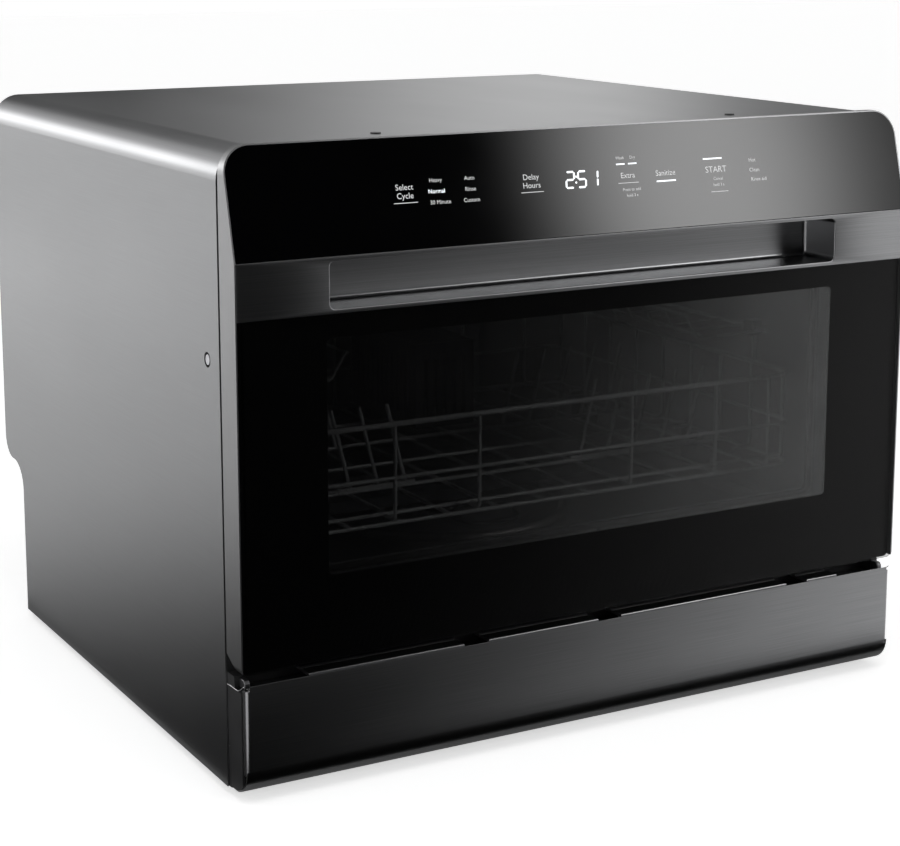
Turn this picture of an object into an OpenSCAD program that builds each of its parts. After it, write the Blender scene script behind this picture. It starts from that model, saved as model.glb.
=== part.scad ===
// Countertop dishwasher: folded steel casing, bottom-hinged glass door with a pocket handle,
// stainless tub with a sliding wire rack, and the pumps and sump in the base.
// +X is to the right seen from the front, +Y to the back and +Z up.
// The origin is the middle of the footprint, on the surface that the feet stand on.

/* [Casing] */
// Width of the casing
body_w = 550; // [535:1:590]
// Depth from the kick plate's face to the casing's rear edge
body_d = 500; // [490:1:530]
// Height of the door's top above the table
body_h = 438; // [430:1:460]
// Height of the feet
foot_h = 5; // [4:0.5:8]
// Thickness of the casing sheet
sheet_t = 1; // [0.8:0.1:1.2]
// Radius of the bends between the casing's top and sides
bend_r = 22; // [16:1:28]
// How much the door's top stands above the casing
door_rise = 1.5; // [1:0.1:2]
// How far the lower rear steps in
rear_step_d = 44; // [40:1:50]
// Height of that rear step above the table
rear_step_z = 131; // [125:1:140]
// Radius of the step's outer corner
step_outer_r = 18; // [12:1:20]
// Radius of the step's inner corner
step_inner_r = 22; // [14:1:24]

/* [Door] */
// Thickness of the door from its glass to its rear rim
door_t = 24.5; // [23:0.5:26]
// Gap between the door's rim and the casing
door_gap = 2.8; // [2.5:0.1:3.4]
// How much the kick plate stands proud of the door
kick_proud = 0.6; // [0.2:0.1:1]
// Height of the door's bottom edge above the table
door_bottom_z = 91; // [90:0.5:93]
// Height of the hinge axis above the table
hinge_z = 98; // [97.5:0.5:99]
// Distance of the hinge axis behind the glass
hinge_in = 10; // [9:0.5:10]
// Radius of the door's top corners
door_corner_r = 19; // [14:1:22]
// Height of the raked control panel
panel_h = 74; // [66:1:78]
// Lean of the control panel from upright, in degrees
panel_rake = 14.5; // [11:0.5:14.5]
// Thickness of the outer glass
glass_t = 4; // [3:0.5:4]
// Height of the steel handle strip
strip_h = 37.5; // [36:0.5:42]
// Width of the handle pocket
pocket_w = 416; // [380:1:430]
// Height of the handle pocket
pocket_h = 32; // [28:0.5:33]
// Depth of the handle pocket
pocket_d = 35; // [30:0.5:36]
// Width of the window
window_w = 418; // [380:1:430]
// Glass between the window and the handle strip
window_top_band = 17; // [15:0.5:22]
// Glass between the door's bottom edge and the window
window_bottom_band = 58; // [57:0.5:62]
// Thickness of the inner window pane
pane_t = 3; // [2.5:0.1:3.5]

/* [Kick plate] */
// Width of the kick plate
kick_w = 541; // [525:1:541]
// Height of the kick plate's top above the table
kick_top_z = 83.4; // [80:0.2:83.6]
// Radius of the kick plate's lower bend
kick_bend_r = 19; // [14:1:22]

/* [Tub] */
// Gap between the casing's outside and the tub's inside on each side
tub_side = 35; // [33:0.5:40]
// Height of the tub's floor above the table
tub_floor_z = 111; // [110.5:0.5:112]
// Gap between the casing's top and the tub's ceiling
tub_top_gap = 33.5; // [32:0.5:38]
// Gap between the casing's rear edge and the tub's back wall
tub_back_gap = 68; // [66:1:80]
// Thickness of the tub's steel
tub_t = 1; // [0.8:0.1:1.2]
// Radius of the tub's corners
tub_r = 18; // [12:1:24]

/* [Sump and wash system] */
// Radius of the filter plate over the sump
filter_plate_r = 71.8; // [66:0.5:76]
// Radius of the filter cylinder
filter_r = 24; // [18:0.5:25]
// Distance of the filter cylinder from the spray arm's axis
filter_offset = 43; // [42.5:0.5:44]
// Length of the spray arm from tip to tip
spray_span = 300; // [260:1:320]
// Radius of the spray arm's bearing post
hub_r = 8; // [7:0.5:9]
// Running clearance of shafts, pins and bearings
running_gap = 0.05; // [0.03:0.01:0.08]
// Radius of the heating loop
heater_r = 100; // [96:1:104]
// Radius of the heating element's tube
heater_tube_r = 4; // [3:0.25:4.5]
// Outer radius of the circulation pump
pump_r = 37; // [32:1:38]
// Radius of the water inlet's threaded spigot
inlet_r = 13.2; // [12:0.1:14]
// Radius of the drain spigot
drain_r = 9.5; // [8:0.25:11]
// Radius of the cable entry in the cord gland
cord_entry_r = 3.75; // [3:0.05:4.5]

/* [Rack] */
// Gap between the rack's sides and the tub's walls
rack_side_gap = 12; // [11:0.5:14]
// Gap between the tub's mouth and the rack's front
rack_front_gap = 40; // [40:0.5:44]
// Length of the rack from front to back
rack_len = 353; // [330:1:353]
// Height of the rack's floor wires above the table
rack_floor_z = 157; // [157:0.5:159]
// Height of the rack's rim above the table
rack_rim_z = 229; // [222:1:236]
// Height of the rack's middle wire above the table
rack_mid_z = 190; // [180:1:198]
// Radius of the rack's thin wires
wire_r = 1.5; // [1.2:0.1:1.6]
// Radius of the rack's rim wire
rim_r = 2; // [1.7:0.1:2.4]
// Height of the tines above the rack's floor wires
tine_h = 66; // [50:1:74]
// Lean of the tines, in degrees
tine_lean = 14; // [8:1:16]
// Radius of the rack's rollers
roller_r = 11; // [9:0.5:11.5]
// Width of the rack's rollers
roller_w = 6; // [5:0.5:6.5]
// Height of the rollers' axles above the table
roller_z = 134; // [133:0.5:135]
// Radius of the rollers' axles
axle_r = 3; // [2.5:0.25:3.5]
// Height of the cup shelves' hinge wires above the table
shelf_z = 258; // [252:1:266]
// Reach of the cup shelves into the tub
shelf_reach = 66; // [50:1:72]
// Length of the cup shelves from front to back
shelf_len = 240; // [200:1:260]
// Width of the cutlery basket
basket_w = 56; // [48:1:70]
// Length of the cutlery basket from front to back
basket_len = 118; // [90:1:122]
// Height of the cutlery basket's walls
basket_h = 72; // [60:1:84]

/* [Hidden] */
$fn = 48;

// Small overshoot that keeps cutting faces apart
eps = 1;
// Clearance of pieces that lie next to each other without touching
seat_gap = 0.2;
// Clearance of guided and turning pieces
guide_gap = 0.3;

// Main planes, worked out from the driving sizes
half_w = body_w / 2;
front_y = -body_d / 2;
back_y = body_d / 2;
casing_top_z = body_h - door_rise;
door_front_y = front_y + kick_proud;
door_rear_y = door_front_y + door_t;
casing_front_y = door_rear_y + door_gap;
hinge_y = door_front_y + hinge_in;
strip_top_z = body_h - panel_h;
strip_bottom_z = strip_top_z - strip_h;
pocket_mid_z = (strip_top_z + strip_bottom_z) / 2;
window_top_z = strip_bottom_z - window_top_band;
window_bottom_z = door_bottom_z + window_bottom_band;
window_mid_z = (window_top_z + window_bottom_z) / 2;
window_h = window_top_z - window_bottom_z;
rear_inset = 1.2;
rear_wall_y = back_y - rear_step_d - rear_inset;

// Tub planes
frame_t = 2;
tub_front_y = casing_front_y + frame_t;
tub_back_y = back_y - tub_back_gap;
tub_half_w = half_w - tub_side;
tub_top_z = casing_top_z - tub_top_gap;
tub_mid_z = (tub_top_z + tub_floor_z) / 2;
tub_in_h = tub_top_z - tub_floor_z;
gasket_in = 1;
gasket_w = 6;

// Door liner planes
liner_t = 1;
field_rise = 5;
field_y = door_rear_y + field_rise;
field_half_w = tub_half_w - 5;
field_bottom_z = tub_floor_z + 3;
field_top_z = tub_top_z - 5;
bulge_half_w = field_half_w - 7;
bulge_top_z = field_top_z - 4;
bulge_bottom_z = strip_bottom_z - 5;
bulge_y = door_front_y + pocket_d + 7;
rim_t = 1;
web_t = 2;
border_t = 0.4;
web_front = glass_t + border_t;

// Hinge sizes
ear_r = 5.5;
ear_x = half_w - 21;
ear_t = 3;
arm_x = ear_x + ear_t + 2.5;
arm_t = 3;
hinge_pin_r = 3;
slot_x0 = ear_x - 1.5;
slot_x1 = arm_x + arm_t + 2.5;

// Sump centre
hub_y = (tub_front_y + tub_back_y) / 2;
heater_leg_x = 14;
heater_leg_y = hub_y + sqrt(heater_r * heater_r - heater_leg_x * heater_leg_x);
filter_angle = -62;
filter_x = filter_offset * cos(filter_angle);
filter_y = hub_y + filter_offset * sin(filter_angle);
sump_bottom_z = 46;
sump_flange_w = 12;
hub_shoulder_z = tub_floor_z + 12;
arm_thick = 13;
tray_t = 2.5;
tray_top_z = 35;
tray_floor_z = foot_h + tray_t;

// Rack planes
rack_half_w = tub_half_w - rack_side_gap;
rack_front_y = tub_front_y + rack_front_gap;
rack_rear_y = rack_front_y + rack_len;
cross_wire_z = rack_floor_z + 1.7 * wire_r;
tine_base_z = rack_floor_z + 2 * wire_r + 0.1;
basket_z = cross_wire_z + wire_r + 0.1;
roller_gap = 1.5;
roller_x = rack_half_w + roller_gap;
roller_front_in = 127;
roller_rear_in = 300;
rail_z = roller_z - roller_r - guide_gap;
shelf_front_y = rack_front_y + 30;
clip_x = rack_half_w - 3;

// ---------- helpers ----------

// Extrudes a drawing of X and Z between two Y planes
module along_y(y0, y1) {
    translate([0, y1, 0]) rotate([90, 0, 0]) linear_extrude(height = y1 - y0) children();
}

// Extrudes a drawing of Y and Z between two X planes
module along_x(x0, x1) {
    translate([x0, 0, 0]) rotate([90, 0, 90]) linear_extrude(height = x1 - x0) children();
}

// Box between two corners
module block(low, high) {
    translate(low) cube(high - low);
}

// Round bars along the three axes
module bar_x(x0, x1, y, z, r) {
    translate([x0, y, z]) rotate([0, 90, 0]) cylinder(r = r, h = x1 - x0);
}
module bar_y(y0, y1, x, z, r) {
    translate([x, y1, z]) rotate([90, 0, 0]) cylinder(r = r, h = y1 - y0);
}
module bar_z(z0, z1, x, y, r) {
    translate([x, y, z0]) cylinder(r = r, h = z1 - z0);
}

// The same shape on the left and on the right
module both_sides() {
    children();
    mirror([1, 0, 0]) children();
}

// Rectangle with four round corners about a centre
module rounded(w, h, r, x = 0, z = 0) {
    translate([x, z]) {
        square([w - 2 * r, h], center = true);
        square([w, h - 2 * r], center = true);
        for (sx = [-1, 1], sz = [-1, 1])
            translate([sx * (w / 2 - r), sz * (h / 2 - r)]) circle(r);
    }
}

// Upright outline with round top corners and a flat bottom
module arch(w, z0, z1, r) {
    translate([-w / 2, z0]) square([w, z1 - z0 - r]);
    translate([-w / 2 + r, z0]) square([w - 2 * r, z1 - z0]);
    for (side = [-1, 1])
        translate([side * (w / 2 - r), z1 - r]) circle(r);
}

// ---------- casing ----------

// Casing outline seen from the front, moved in by a distance
module casing_outline(inset, z0) {
    arch(body_w - 2 * inset, z0, casing_top_z - inset, bend_r - inset);
}

// Everything behind the stepped rear edge, which is moved forward by a distance
module behind_rear(inset) {
    wall_y = back_y - rear_step_d - inset;
    ledge_z = rear_step_z + inset;
    inner_y = back_y - rear_step_d + step_inner_r;
    inner_z = rear_step_z - step_inner_r;
    outer_y = back_y - step_outer_r;
    outer_z = rear_step_z + step_outer_r;
    difference() {
        translate([wall_y, -50]) square([200, ledge_z + 50]);
        difference() {
            translate([wall_y - eps, inner_z]) square([inner_y - wall_y + eps, step_inner_r + inset + eps]);
            translate([inner_y, inner_z]) circle(step_inner_r + inset);
        }
    }
    difference() {
        translate([outer_y, ledge_z - eps]) square([100, outer_z - ledge_z + eps]);
        translate([outer_y, outer_z]) circle(step_outer_r - inset);
    }
    translate([back_y - inset, outer_z - eps]) square([100, body_h]);
}

// Side screw and top plug places
screw_y = casing_front_y + 20;
screw_z = casing_top_z - 142;
screw_hole_r = 5.2;
plug_x = 147.5;
plug_y = casing_front_y + 25;
plug_hole_r = 2.5;

module outer_casing() color([0.33, 0.33, 0.34]) {
    difference() {
        along_y(casing_front_y, back_y) difference() {
            casing_outline(0, foot_h);
            casing_outline(sheet_t, foot_h - eps);
        }
        along_x(-half_w - eps, half_w + eps) behind_rear(0);
        both_sides() bar_x(half_w - 2 * bend_r, half_w + eps, screw_y, screw_z, screw_hole_r);
        both_sides() bar_z(casing_top_z - 3, casing_top_z + eps, plug_x, plug_y, plug_hole_r);
    }
}

// Places on the rear panel's lower wall
inlet_x = -200;
drain_x = -140;
gland_x = 205;
service_z = 62;
vent_w = 46;
vent_pitch = 9;
vent_rows = 8;
vent_z = 300;
vent_x = 150;

module rear_panel() color([0.45, 0.46, 0.47]) {
    difference() {
        intersection() {
            along_x(-half_w, half_w) difference() {
                behind_rear(rear_inset + sheet_t);
                behind_rear(rear_inset);
            }
            along_y(0, back_y + eps) casing_outline(sheet_t, foot_h + tray_t);
        }
        bar_y(0, back_y, inlet_x, service_z, inlet_r + 2);
        bar_y(0, back_y, drain_x, service_z, drain_r + 2);
        bar_y(0, back_y, gland_x, service_z, 9);
        for (column = [-1, 1], row = [0:vent_rows - 1])
            translate([column * vent_x - vent_w / 2, rear_wall_y, vent_z + row * vent_pitch])
                cube([vent_w, 2 * rear_step_d, 3]);
    }
}

// Screws of the rear panel, and one in each side near the door
module casing_screws() color([0.72, 0.72, 0.73]) {
    head_r = 3.5;
    head_h = 1;
    shank_r = 2;
    face_y = back_y - rear_inset;
    both_sides() bar_x(half_w - sheet_t - 1, half_w - 0.2, screw_y, screw_z, head_r);
    both_sides() bar_x(half_w - 12, half_w - sheet_t - 1, screw_y, screw_z, shank_r);
    for (x = [-1, 0, 1], z = [casing_top_z - 16, rear_step_z + 40])
        bar_y(face_y, face_y + head_h, x * (half_w - 30), z, head_r);
    both_sides() bar_y(rear_wall_y, rear_wall_y + head_h, half_w - 18, 30, head_r);
}

module top_plugs() color([0.1, 0.1, 0.1]) both_sides() translate([plug_x, plug_y, casing_top_z]) {
    cylinder(r = 3.6, h = 0.9);
    translate([0, 0, -5]) cylinder(r = plug_hole_r - 0.1, h = 5);
}

// ---------- base ----------

bracket_y0 = tub_front_y + 1;
bracket_y1 = bracket_y0 + 28;
foot_x = half_w - 30;
foot_front_y = casing_front_y + 16;
foot_rear_y = rear_wall_y - 28;

// Front of the tray, behind the kick plate's lower lip
kick_lip_y = front_y + kick_bend_r + 5;
tray_front = kick_lip_y + seat_gap;

module base_tray() color([0.09, 0.09, 0.09]) {
    tray_half_w = half_w - sheet_t - seat_gap;
    tray_rear = rear_wall_y - sheet_t - seat_gap;
    rib_t = 2;
    difference() {
        block([-tray_half_w, tray_front, foot_h], [tray_half_w, tray_rear, tray_top_z]);
        block([-tray_half_w + tray_t, tray_front + tray_t, tray_floor_z],
            [tray_half_w - tray_t, tray_rear - tray_t, tray_top_z + eps]);
    }
    // Bosses under the hinge brackets
    both_sides() block([ear_x - 14, bracket_y0, tray_floor_z - eps], [ear_x + ear_t, bracket_y1, tray_top_z]);
    // Stiffening ribs across the floor
    for (y = [-130, 150])
        block([-tray_half_w + 1, y, tray_floor_z - eps], [tray_half_w - 1, y + rib_t, tray_floor_z + 8]);
    // Pads under the two pumps
    block([circ_x + 30, circ_y - 20, tray_floor_z - eps], [circ_x + 70, circ_y + 20, circ_z - motor_r]);
    block([drain_pump_x - 45, drain_pump_y - 12, tray_floor_z - eps],
        [drain_pump_x - 20, drain_pump_y + 12, drain_pump_z - drain_motor_r]);
}

module feet() color([0.07, 0.07, 0.07]) {
    foot_r = 14;
    chamfer = 1.5;
    for (x = [-foot_x, foot_x], y = [foot_front_y, foot_rear_y])
        translate([x, y, 0]) rotate_extrude()
            polygon([[0, 0], [foot_r - chamfer, 0], [foot_r, chamfer], [foot_r, foot_h], [0, foot_h]]);
}

// ---------- kick plate ----------

kick_face_y = front_y;
kick_t = 1.2;
kick_back_y = casing_front_y - 0.3;
kick_groove = 1.6;

// Side view of the kick plate's outer face, moved in by a distance
module kick_profile(inset) {
    face_y = kick_face_y + inset;
    top_z = kick_top_z - inset;
    low_z = foot_h + inset;
    r = kick_bend_r - inset;
    difference() {
        translate([face_y, low_z]) square([kick_back_y - face_y, top_z - low_z]);
        difference() {
            translate([face_y - eps, low_z - eps]) square([r + eps, r + eps]);
            translate([face_y + r, low_z + r]) circle(r);
        }
    }
}

notch_x = [-95, 16, 186];
notch_w = 20;
kick_return = 5;

module kick_plate() color([0.24, 0.24, 0.25]) {
    half = kick_w / 2;
    cut_y = kick_face_y + 5;
    under_z = kick_top_z - kick_t;
    bend_z = foot_h + kick_bend_r;
    difference() {
        along_x(-half, half) difference() {
            kick_profile(0);
            kick_profile(kick_t);
            translate([kick_lip_y, 0]) square([60, under_z - eps]);
            translate([kick_face_y + kick_t, bend_z]) square([60, under_z - bend_z]);
        }
        // Notches in the top flange under the door
        for (x = notch_x)
            block([x - notch_w / 2, cut_y, kick_top_z - 5], [x + notch_w / 2, casing_front_y, kick_top_z + eps]);
        both_sides() block([half - 46, cut_y, kick_top_z - 5], [half + eps, casing_front_y, kick_top_z + eps]);
    }
    // Edges folded back at the plate's two ends
    both_sides() block([half - kick_t, kick_face_y + kick_t / 2, bend_z - 5], [half, kick_face_y + kick_return, kick_top_z - 3.4]);
}

// Black plastic frame behind the steel plate: its ends close the kick plate's sides
module kick_carrier() color([0.06, 0.06, 0.06]) {
    half = half_w - 1.2;
    end_t = 5;
    rib_t = 2.5;
    end_front = kick_face_y + kick_t + kick_groove;
    cheek_front = kick_face_y + kick_return + 0.4;
    front_in = kick_t + seat_gap;
    both_sides() intersection() {
        along_x(half - end_t, half) difference() {
            kick_profile(front_in);
            translate([tray_front - seat_gap, 0]) square([60, tray_top_z + seat_gap]);
        }
        block([0, cheek_front, foot_h], [half + eps, kick_back_y, kick_top_z - 5.5]);
    }
    // Horns that close the corner between the plate's end and the door's swing
    both_sides() block([half - 6, hinge_y + 5.4, kick_top_z - 20], [half, kick_back_y, hinge_z - 12]);
    // Rail behind the plate, with the ribs that back it
    rail_half = kick_w / 2 - kick_t - 1;
    block([-rail_half, end_front, kick_top_z - 26], [rail_half, cheek_front + 0.8, kick_top_z - 8]);
    block([-half + end_t - eps, cheek_front, kick_top_z - 10], [half - end_t + eps, kick_back_y, kick_top_z - 8]);
    block([-half + end_t - eps, kick_face_y + kick_bend_r, foot_h + kick_t + seat_gap],
        [half - end_t + eps, kick_lip_y - seat_gap, foot_h + kick_t + 3]);
    for (i = [-2:2])
        block([i * kick_w / 6 - rib_t / 2, end_front, kick_top_z - 24], [i * kick_w / 6 + rib_t / 2, kick_back_y, kick_top_z - 9]);
}

// ---------- tub ----------

module tub_outline(grow) {
    rounded(2 * (tub_half_w + grow), tub_in_h + 2 * grow, tub_r + grow, 0, tub_mid_z);
}

// Places on the tub's floor
float_x = -tub_half_w + 55;
float_y = tub_front_y + 50;
float_stem_r = 5;
heater_leg_r = heater_tube_r + 1;

module tub() color([0.72, 0.73, 0.74]) {
    rail_in = roller_w + roller_gap + 4;
    difference() {
        union() {
            difference() {
                along_y(tub_front_y, tub_back_y + tub_t) tub_outline(tub_t);
                along_y(tub_front_y - eps, tub_back_y) tub_outline(0);
            }
            // Ledges that the rack's rollers run on
            intersection() {
                both_sides() block([tub_half_w - rail_in, tub_front_y + 1.5, 0], [tub_half_w + tub_t, tub_back_y, rail_z]);
                along_y(tub_front_y, tub_back_y) tub_outline(tub_t / 2);
            }
            // Pressed ribs that stiffen the back wall
            for (x = [-160:80:160])
                block([x - 8, tub_back_y - 2.5, rack_floor_z], [x + 8, tub_back_y + eps / 2, tub_top_z - 40]);
        }
        bar_z(tub_floor_z - 5, tub_floor_z + 5, 0, hub_y, filter_plate_r + seat_gap);
        bar_z(tub_floor_z - 5, tub_floor_z + 5, float_x, float_y, float_stem_r + guide_gap);
        for (side = [-1, 1])
            bar_z(tub_floor_z - 5, tub_floor_z + 5, side * heater_leg_x, heater_leg_y, heater_leg_r + seat_gap);
    }
}

module front_frame() color([0.08, 0.08, 0.08]) {
    tab_t = 5;
    tab_x = half_w - sheet_t;
    frame_bottom = kick_top_z - 8;
    difference() {
        union() {
            along_y(casing_front_y, tub_front_y) difference() {
                casing_outline(sheet_t, frame_bottom);
                tub_outline(0);
            }
            both_sides() block([tab_x - tab_t, tub_front_y - eps, screw_z - 14], [tab_x, screw_y + 12, screw_z + 14]);
        }
        both_sides() bar_x(tab_x - 1, tab_x + eps, screw_y, screw_z, screw_hole_r);
        both_sides() bar_x(tab_x - 2 * tab_t, tab_x + eps, screw_y, screw_z, 2);
        both_sides() block([ear_x - 1, casing_front_y - eps, hinge_z - ear_r - 1],
            [ear_x + ear_t + 1, tub_front_y + eps, hinge_z + ear_r + 1]);
    }
}

module tub_gasket() color([0.05, 0.05, 0.05]) {
    along_y(door_rear_y + guide_gap, casing_front_y) difference() {
        tub_outline(gasket_in + gasket_w);
        tub_outline(gasket_in);
    }
}

// Strike of the door latch, under the tub's ceiling
strike_half_w = 16;
strike_lip_t = 3;
strike_y = tub_front_y + 0.4;
strike_drop = 6;

module door_strike() color([0.7, 0.7, 0.72]) {
    top = tub_top_z - seat_gap;
    block([-strike_half_w, strike_y, top - 2.2], [strike_half_w, strike_y + 18, top]);
    block([-strike_half_w, strike_y, top - strike_drop], [strike_half_w, strike_y + strike_lip_t, top - 1]);
}

module hinge_brackets() color([0.6, 0.6, 0.62]) both_sides() {
    difference() {
        union() {
            along_x(ear_x, ear_x + ear_t) {
                translate([hinge_y, hinge_z]) circle(ear_r);
                translate([hinge_y, hinge_z - ear_r]) square([bracket_y0 + 4 - hinge_y, 2 * ear_r]);
                translate([bracket_y0, tray_top_z]) square([bracket_y1 - bracket_y0, hinge_z + ear_r - tray_top_z]);
            }
            block([ear_x - 12, bracket_y0, tray_top_z], [ear_x + eps, bracket_y1, tray_top_z + 2.5]);
        }
        bar_x(ear_x - eps, ear_x + ear_t + eps, hinge_y, hinge_z, hinge_pin_r);
    }
}

module hinge_pins() color([0.75, 0.75, 0.76]) both_sides() {
    bar_x(ear_x, arm_x + arm_t + 1, hinge_y, hinge_z, hinge_pin_r);
    bar_x(ear_x - 1.2, ear_x, hinge_y, hinge_z, hinge_pin_r + 1.2);
}

// ---------- sump and wash system ----------

// Bowl of the sump, with a spigot to each pump
bowl_r = filter_plate_r - 1.5;
bowl_wall = 2.5;
bowl_in_r = bowl_r - bowl_wall;
spigot_end = bowl_r + 6;
circ_spigot_r = 13;
drain_spigot_r = 11;

module sump_housing() color([0.12, 0.12, 0.12]) {
    flange_r = filter_plate_r + sump_flange_w;
    top = tub_floor_z - tub_t;
    heel = 5;
    low_in = bowl_in_r - heel + 1;
    floor_z = sump_bottom_z + bowl_wall;
    translate([0, hub_y, 0]) difference() {
        union() {
            rotate_extrude() polygon([[0, sump_bottom_z], [bowl_r - heel, sump_bottom_z], [bowl_r, sump_bottom_z + heel],
                [bowl_r, top - 6], [flange_r, top - 2.5], [flange_r, top], [0, top]]);
            translate([bowl_in_r - heel, 0, circ_z]) rotate([0, 90, 0]) cylinder(r = circ_spigot_r, h = spigot_end - bowl_in_r + heel);
            translate([-spigot_end, 0, drain_pump_z]) rotate([0, 90, 0]) cylinder(r = drain_spigot_r, h = spigot_end - bowl_in_r + heel);
        }
        rotate_extrude() polygon([[0, floor_z], [low_in, floor_z], [bowl_in_r, floor_z + heel],
            [bowl_in_r, top + eps], [0, top + eps]]);
        // Outlets to the two pumps
        translate([bowl_in_r - 2 * heel, 0, circ_z]) rotate([0, 90, 0]) cylinder(r = circ_spigot_r - 3, h = 30);
        translate([-bowl_in_r - 20, 0, drain_pump_z]) rotate([0, 90, 0]) cylinder(r = drain_spigot_r - 3, h = 30);
    }
}

module filter_plate() color([0.66, 0.67, 0.68]) {
    ring_radii = [30, 38, 46, 54, 62];
    translate([0, hub_y, tub_floor_z - tub_t]) difference() {
        cylinder(r = filter_plate_r, h = 1.2);
        translate([0, 0, -eps]) cylinder(r = hub_r + 6 + seat_gap, h = 5);
        translate([filter_x, filter_y - hub_y, -eps]) cylinder(r = filter_r + guide_gap, h = 5);
        // Rings of drain holes on the side away from the filter cylinder
        for (ring_r = ring_radii, i = [0:7])
            rotate(filter_angle + 90 + 10 + i * 22.8) translate([ring_r, 0, -eps]) cylinder(r = 2, h = 5, $fn = 6);
    }
}

module filter_cylinder() color([0.55, 0.56, 0.57]) translate([filter_x, filter_y, 0]) {
    top = tub_floor_z + 1.2;
    bottom = sump_bottom_z + 14;
    rim = 3;
    grip_h = 7;
    difference() {
        union() {
            translate([0, 0, bottom]) cylinder(r = filter_r, h = top - bottom);
            translate([0, 0, tub_floor_z - tub_t + 1.4]) cylinder(r = filter_r + rim, h = 2);
        }
        translate([0, 0, bottom + 2]) cylinder(r = filter_r - 1.5, h = top - bottom + 5);
    }
    // Grip bar across the mouth
    block([-filter_r + 0.5, -2.5, top - 4], [filter_r - 0.5, 2.5, top + grip_h]);
}

module spray_arm_hub() color([0.1, 0.1, 0.1]) translate([0, hub_y, 0]) {
    foot_z = sump_bottom_z + 2.5;
    difference() {
        union() {
            translate([0, 0, foot_z]) cylinder(r = hub_r + 6, h = hub_shoulder_z - foot_z);
            translate([0, 0, hub_shoulder_z - eps]) cylinder(r = hub_r, h = arm_thick - 3 + eps);
        }
        translate([0, 0, foot_z + 12]) cylinder(r = hub_r - 2, h = 100);
    }
}

// Outline of the spray arm, a long S with round tips
module spray_arm_outline() {
    reach = spray_span / 2;
    root_w = 46;
    tip_r = 13;
    circle(28);
    for (turn = [0, 180]) rotate(turn) {
        polygon([[0, root_w / 2], [reach * 0.5, root_w / 2 - 2], [reach - tip_r, tip_r + 6],
            [reach - tip_r, 6 - tip_r], [reach * 0.5, -12], [0, -root_w / 2]]);
        translate([reach - tip_r, 6]) circle(tip_r);
    }
}

module spray_arm() color([0.35, 0.36, 0.38]) translate([0, hub_y, 0]) {
    base = hub_shoulder_z + guide_gap;
    nozzle_at = [0.36, 0.55, 0.72, 0.88];
    difference() {
        union() {
            translate([0, 0, base + 2]) linear_extrude(height = arm_thick - 4) spray_arm_outline();
            translate([0, 0, base]) cylinder(r = hub_r + 5, h = arm_thick);
            for (turn = [0, 180], place = nozzle_at) rotate(turn)
                translate([place * spray_span / 2, 3, base + arm_thick - 2.5]) cylinder(r = 4.5, h = 1.5);
        }
        translate([0, 0, base - eps]) cylinder(r = hub_r + running_gap, h = arm_thick - 1.5 + eps);
        for (turn = [0, 180], place = nozzle_at) rotate(turn)
            translate([place * spray_span / 2, 3, base + 6]) cylinder(r = 1.6, h = arm_thick);
    }
}

module heating_element() color([0.5, 0.5, 0.5]) translate([0, hub_y, 0]) {
    loop_z = tub_floor_z + heater_tube_r + 0.8;
    gap_angle = 2 * asin(heater_leg_x / heater_r);
    loop_start = 90 + gap_angle / 2;
    leg_y = heater_leg_y - hub_y;
    rotate([0, 0, loop_start]) translate([0, 0, loop_z])
        rotate_extrude(angle = 360 - gap_angle) translate([heater_r, 0]) circle(heater_tube_r);
    leg_z = tub_floor_z - 25;
    for (side = [-1, 1])
        translate([side * heater_leg_x, leg_y, leg_z]) cylinder(r = heater_leg_r, h = loop_z + heater_tube_r - leg_z);
    // Feet that hold the loop off the floor
    for (turn = [0, 120, 240]) rotate(turn - 90 + 12)
        translate([heater_r, 0, tub_floor_z + seat_gap / 2]) cylinder(r = 3, h = 4);
}

circ_x = 92;
circ_y = hub_y;
circ_z = 62;
motor_r = 30;

module circulation_pump() color([0.15, 0.15, 0.16]) translate([0, circ_y, circ_z]) rotate([0, 90, 0]) {
    chamber_r = pump_r - 3;
    difference() {
        union() {
            translate([0, 0, circ_x]) cylinder(r = pump_r, h = 26);
            translate([0, 0, spigot_end + seat_gap]) cylinder(r = circ_spigot_r, h = circ_x - spigot_end);
            translate([0, 0, circ_x + 25]) cylinder(r = motor_r, h = 70);
            translate([0, 0, circ_x + 94]) cylinder(r = 12, h = 8);
            // Outlet that feeds the spray arm's post
            translate([-pump_r + 11, 0, circ_x + 13]) rotate([90, 0, 0]) cylinder(r = 11, h = pump_r + 16);
        }
        translate([0, 0, circ_x + 3]) cylinder(r = chamber_r, h = 19);
        translate([0, 0, spigot_end - eps]) cylinder(r = circ_spigot_r - 3, h = circ_x - spigot_end + 8);
        translate([0, 0, circ_x + 20]) cylinder(r = 3 + running_gap, h = 12);
        translate([-pump_r + 11, 0, circ_x + 13]) rotate([90, 0, 0]) cylinder(r = 8, h = pump_r + 20);
    }
}

module impeller(disc_r, disc_h, vane_h, shaft_r, shaft_len, vanes) {
    cylinder(r = disc_r, h = disc_h);
    translate([0, 0, -vane_h]) cylinder(r = disc_r * 0.22, h = vane_h + eps);
    for (i = [0:vanes - 1]) rotate(i * 360 / vanes)
        translate([disc_r * 0.15, -1, 0.5 - vane_h]) cube([disc_r * 0.75, 2, vane_h + eps]);
    cylinder(r = shaft_r, h = shaft_len);
}

module pump_impeller() color([0.6, 0.6, 0.62]) translate([circ_x + 17, circ_y, circ_z]) rotate([0, 90, 0])
    impeller(pump_r - 5, 3, 9, 3, 14, 6);

drain_pump_x = -92;
drain_pump_y = hub_y;
drain_pump_z = 58;
drain_motor_r = 20;

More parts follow.
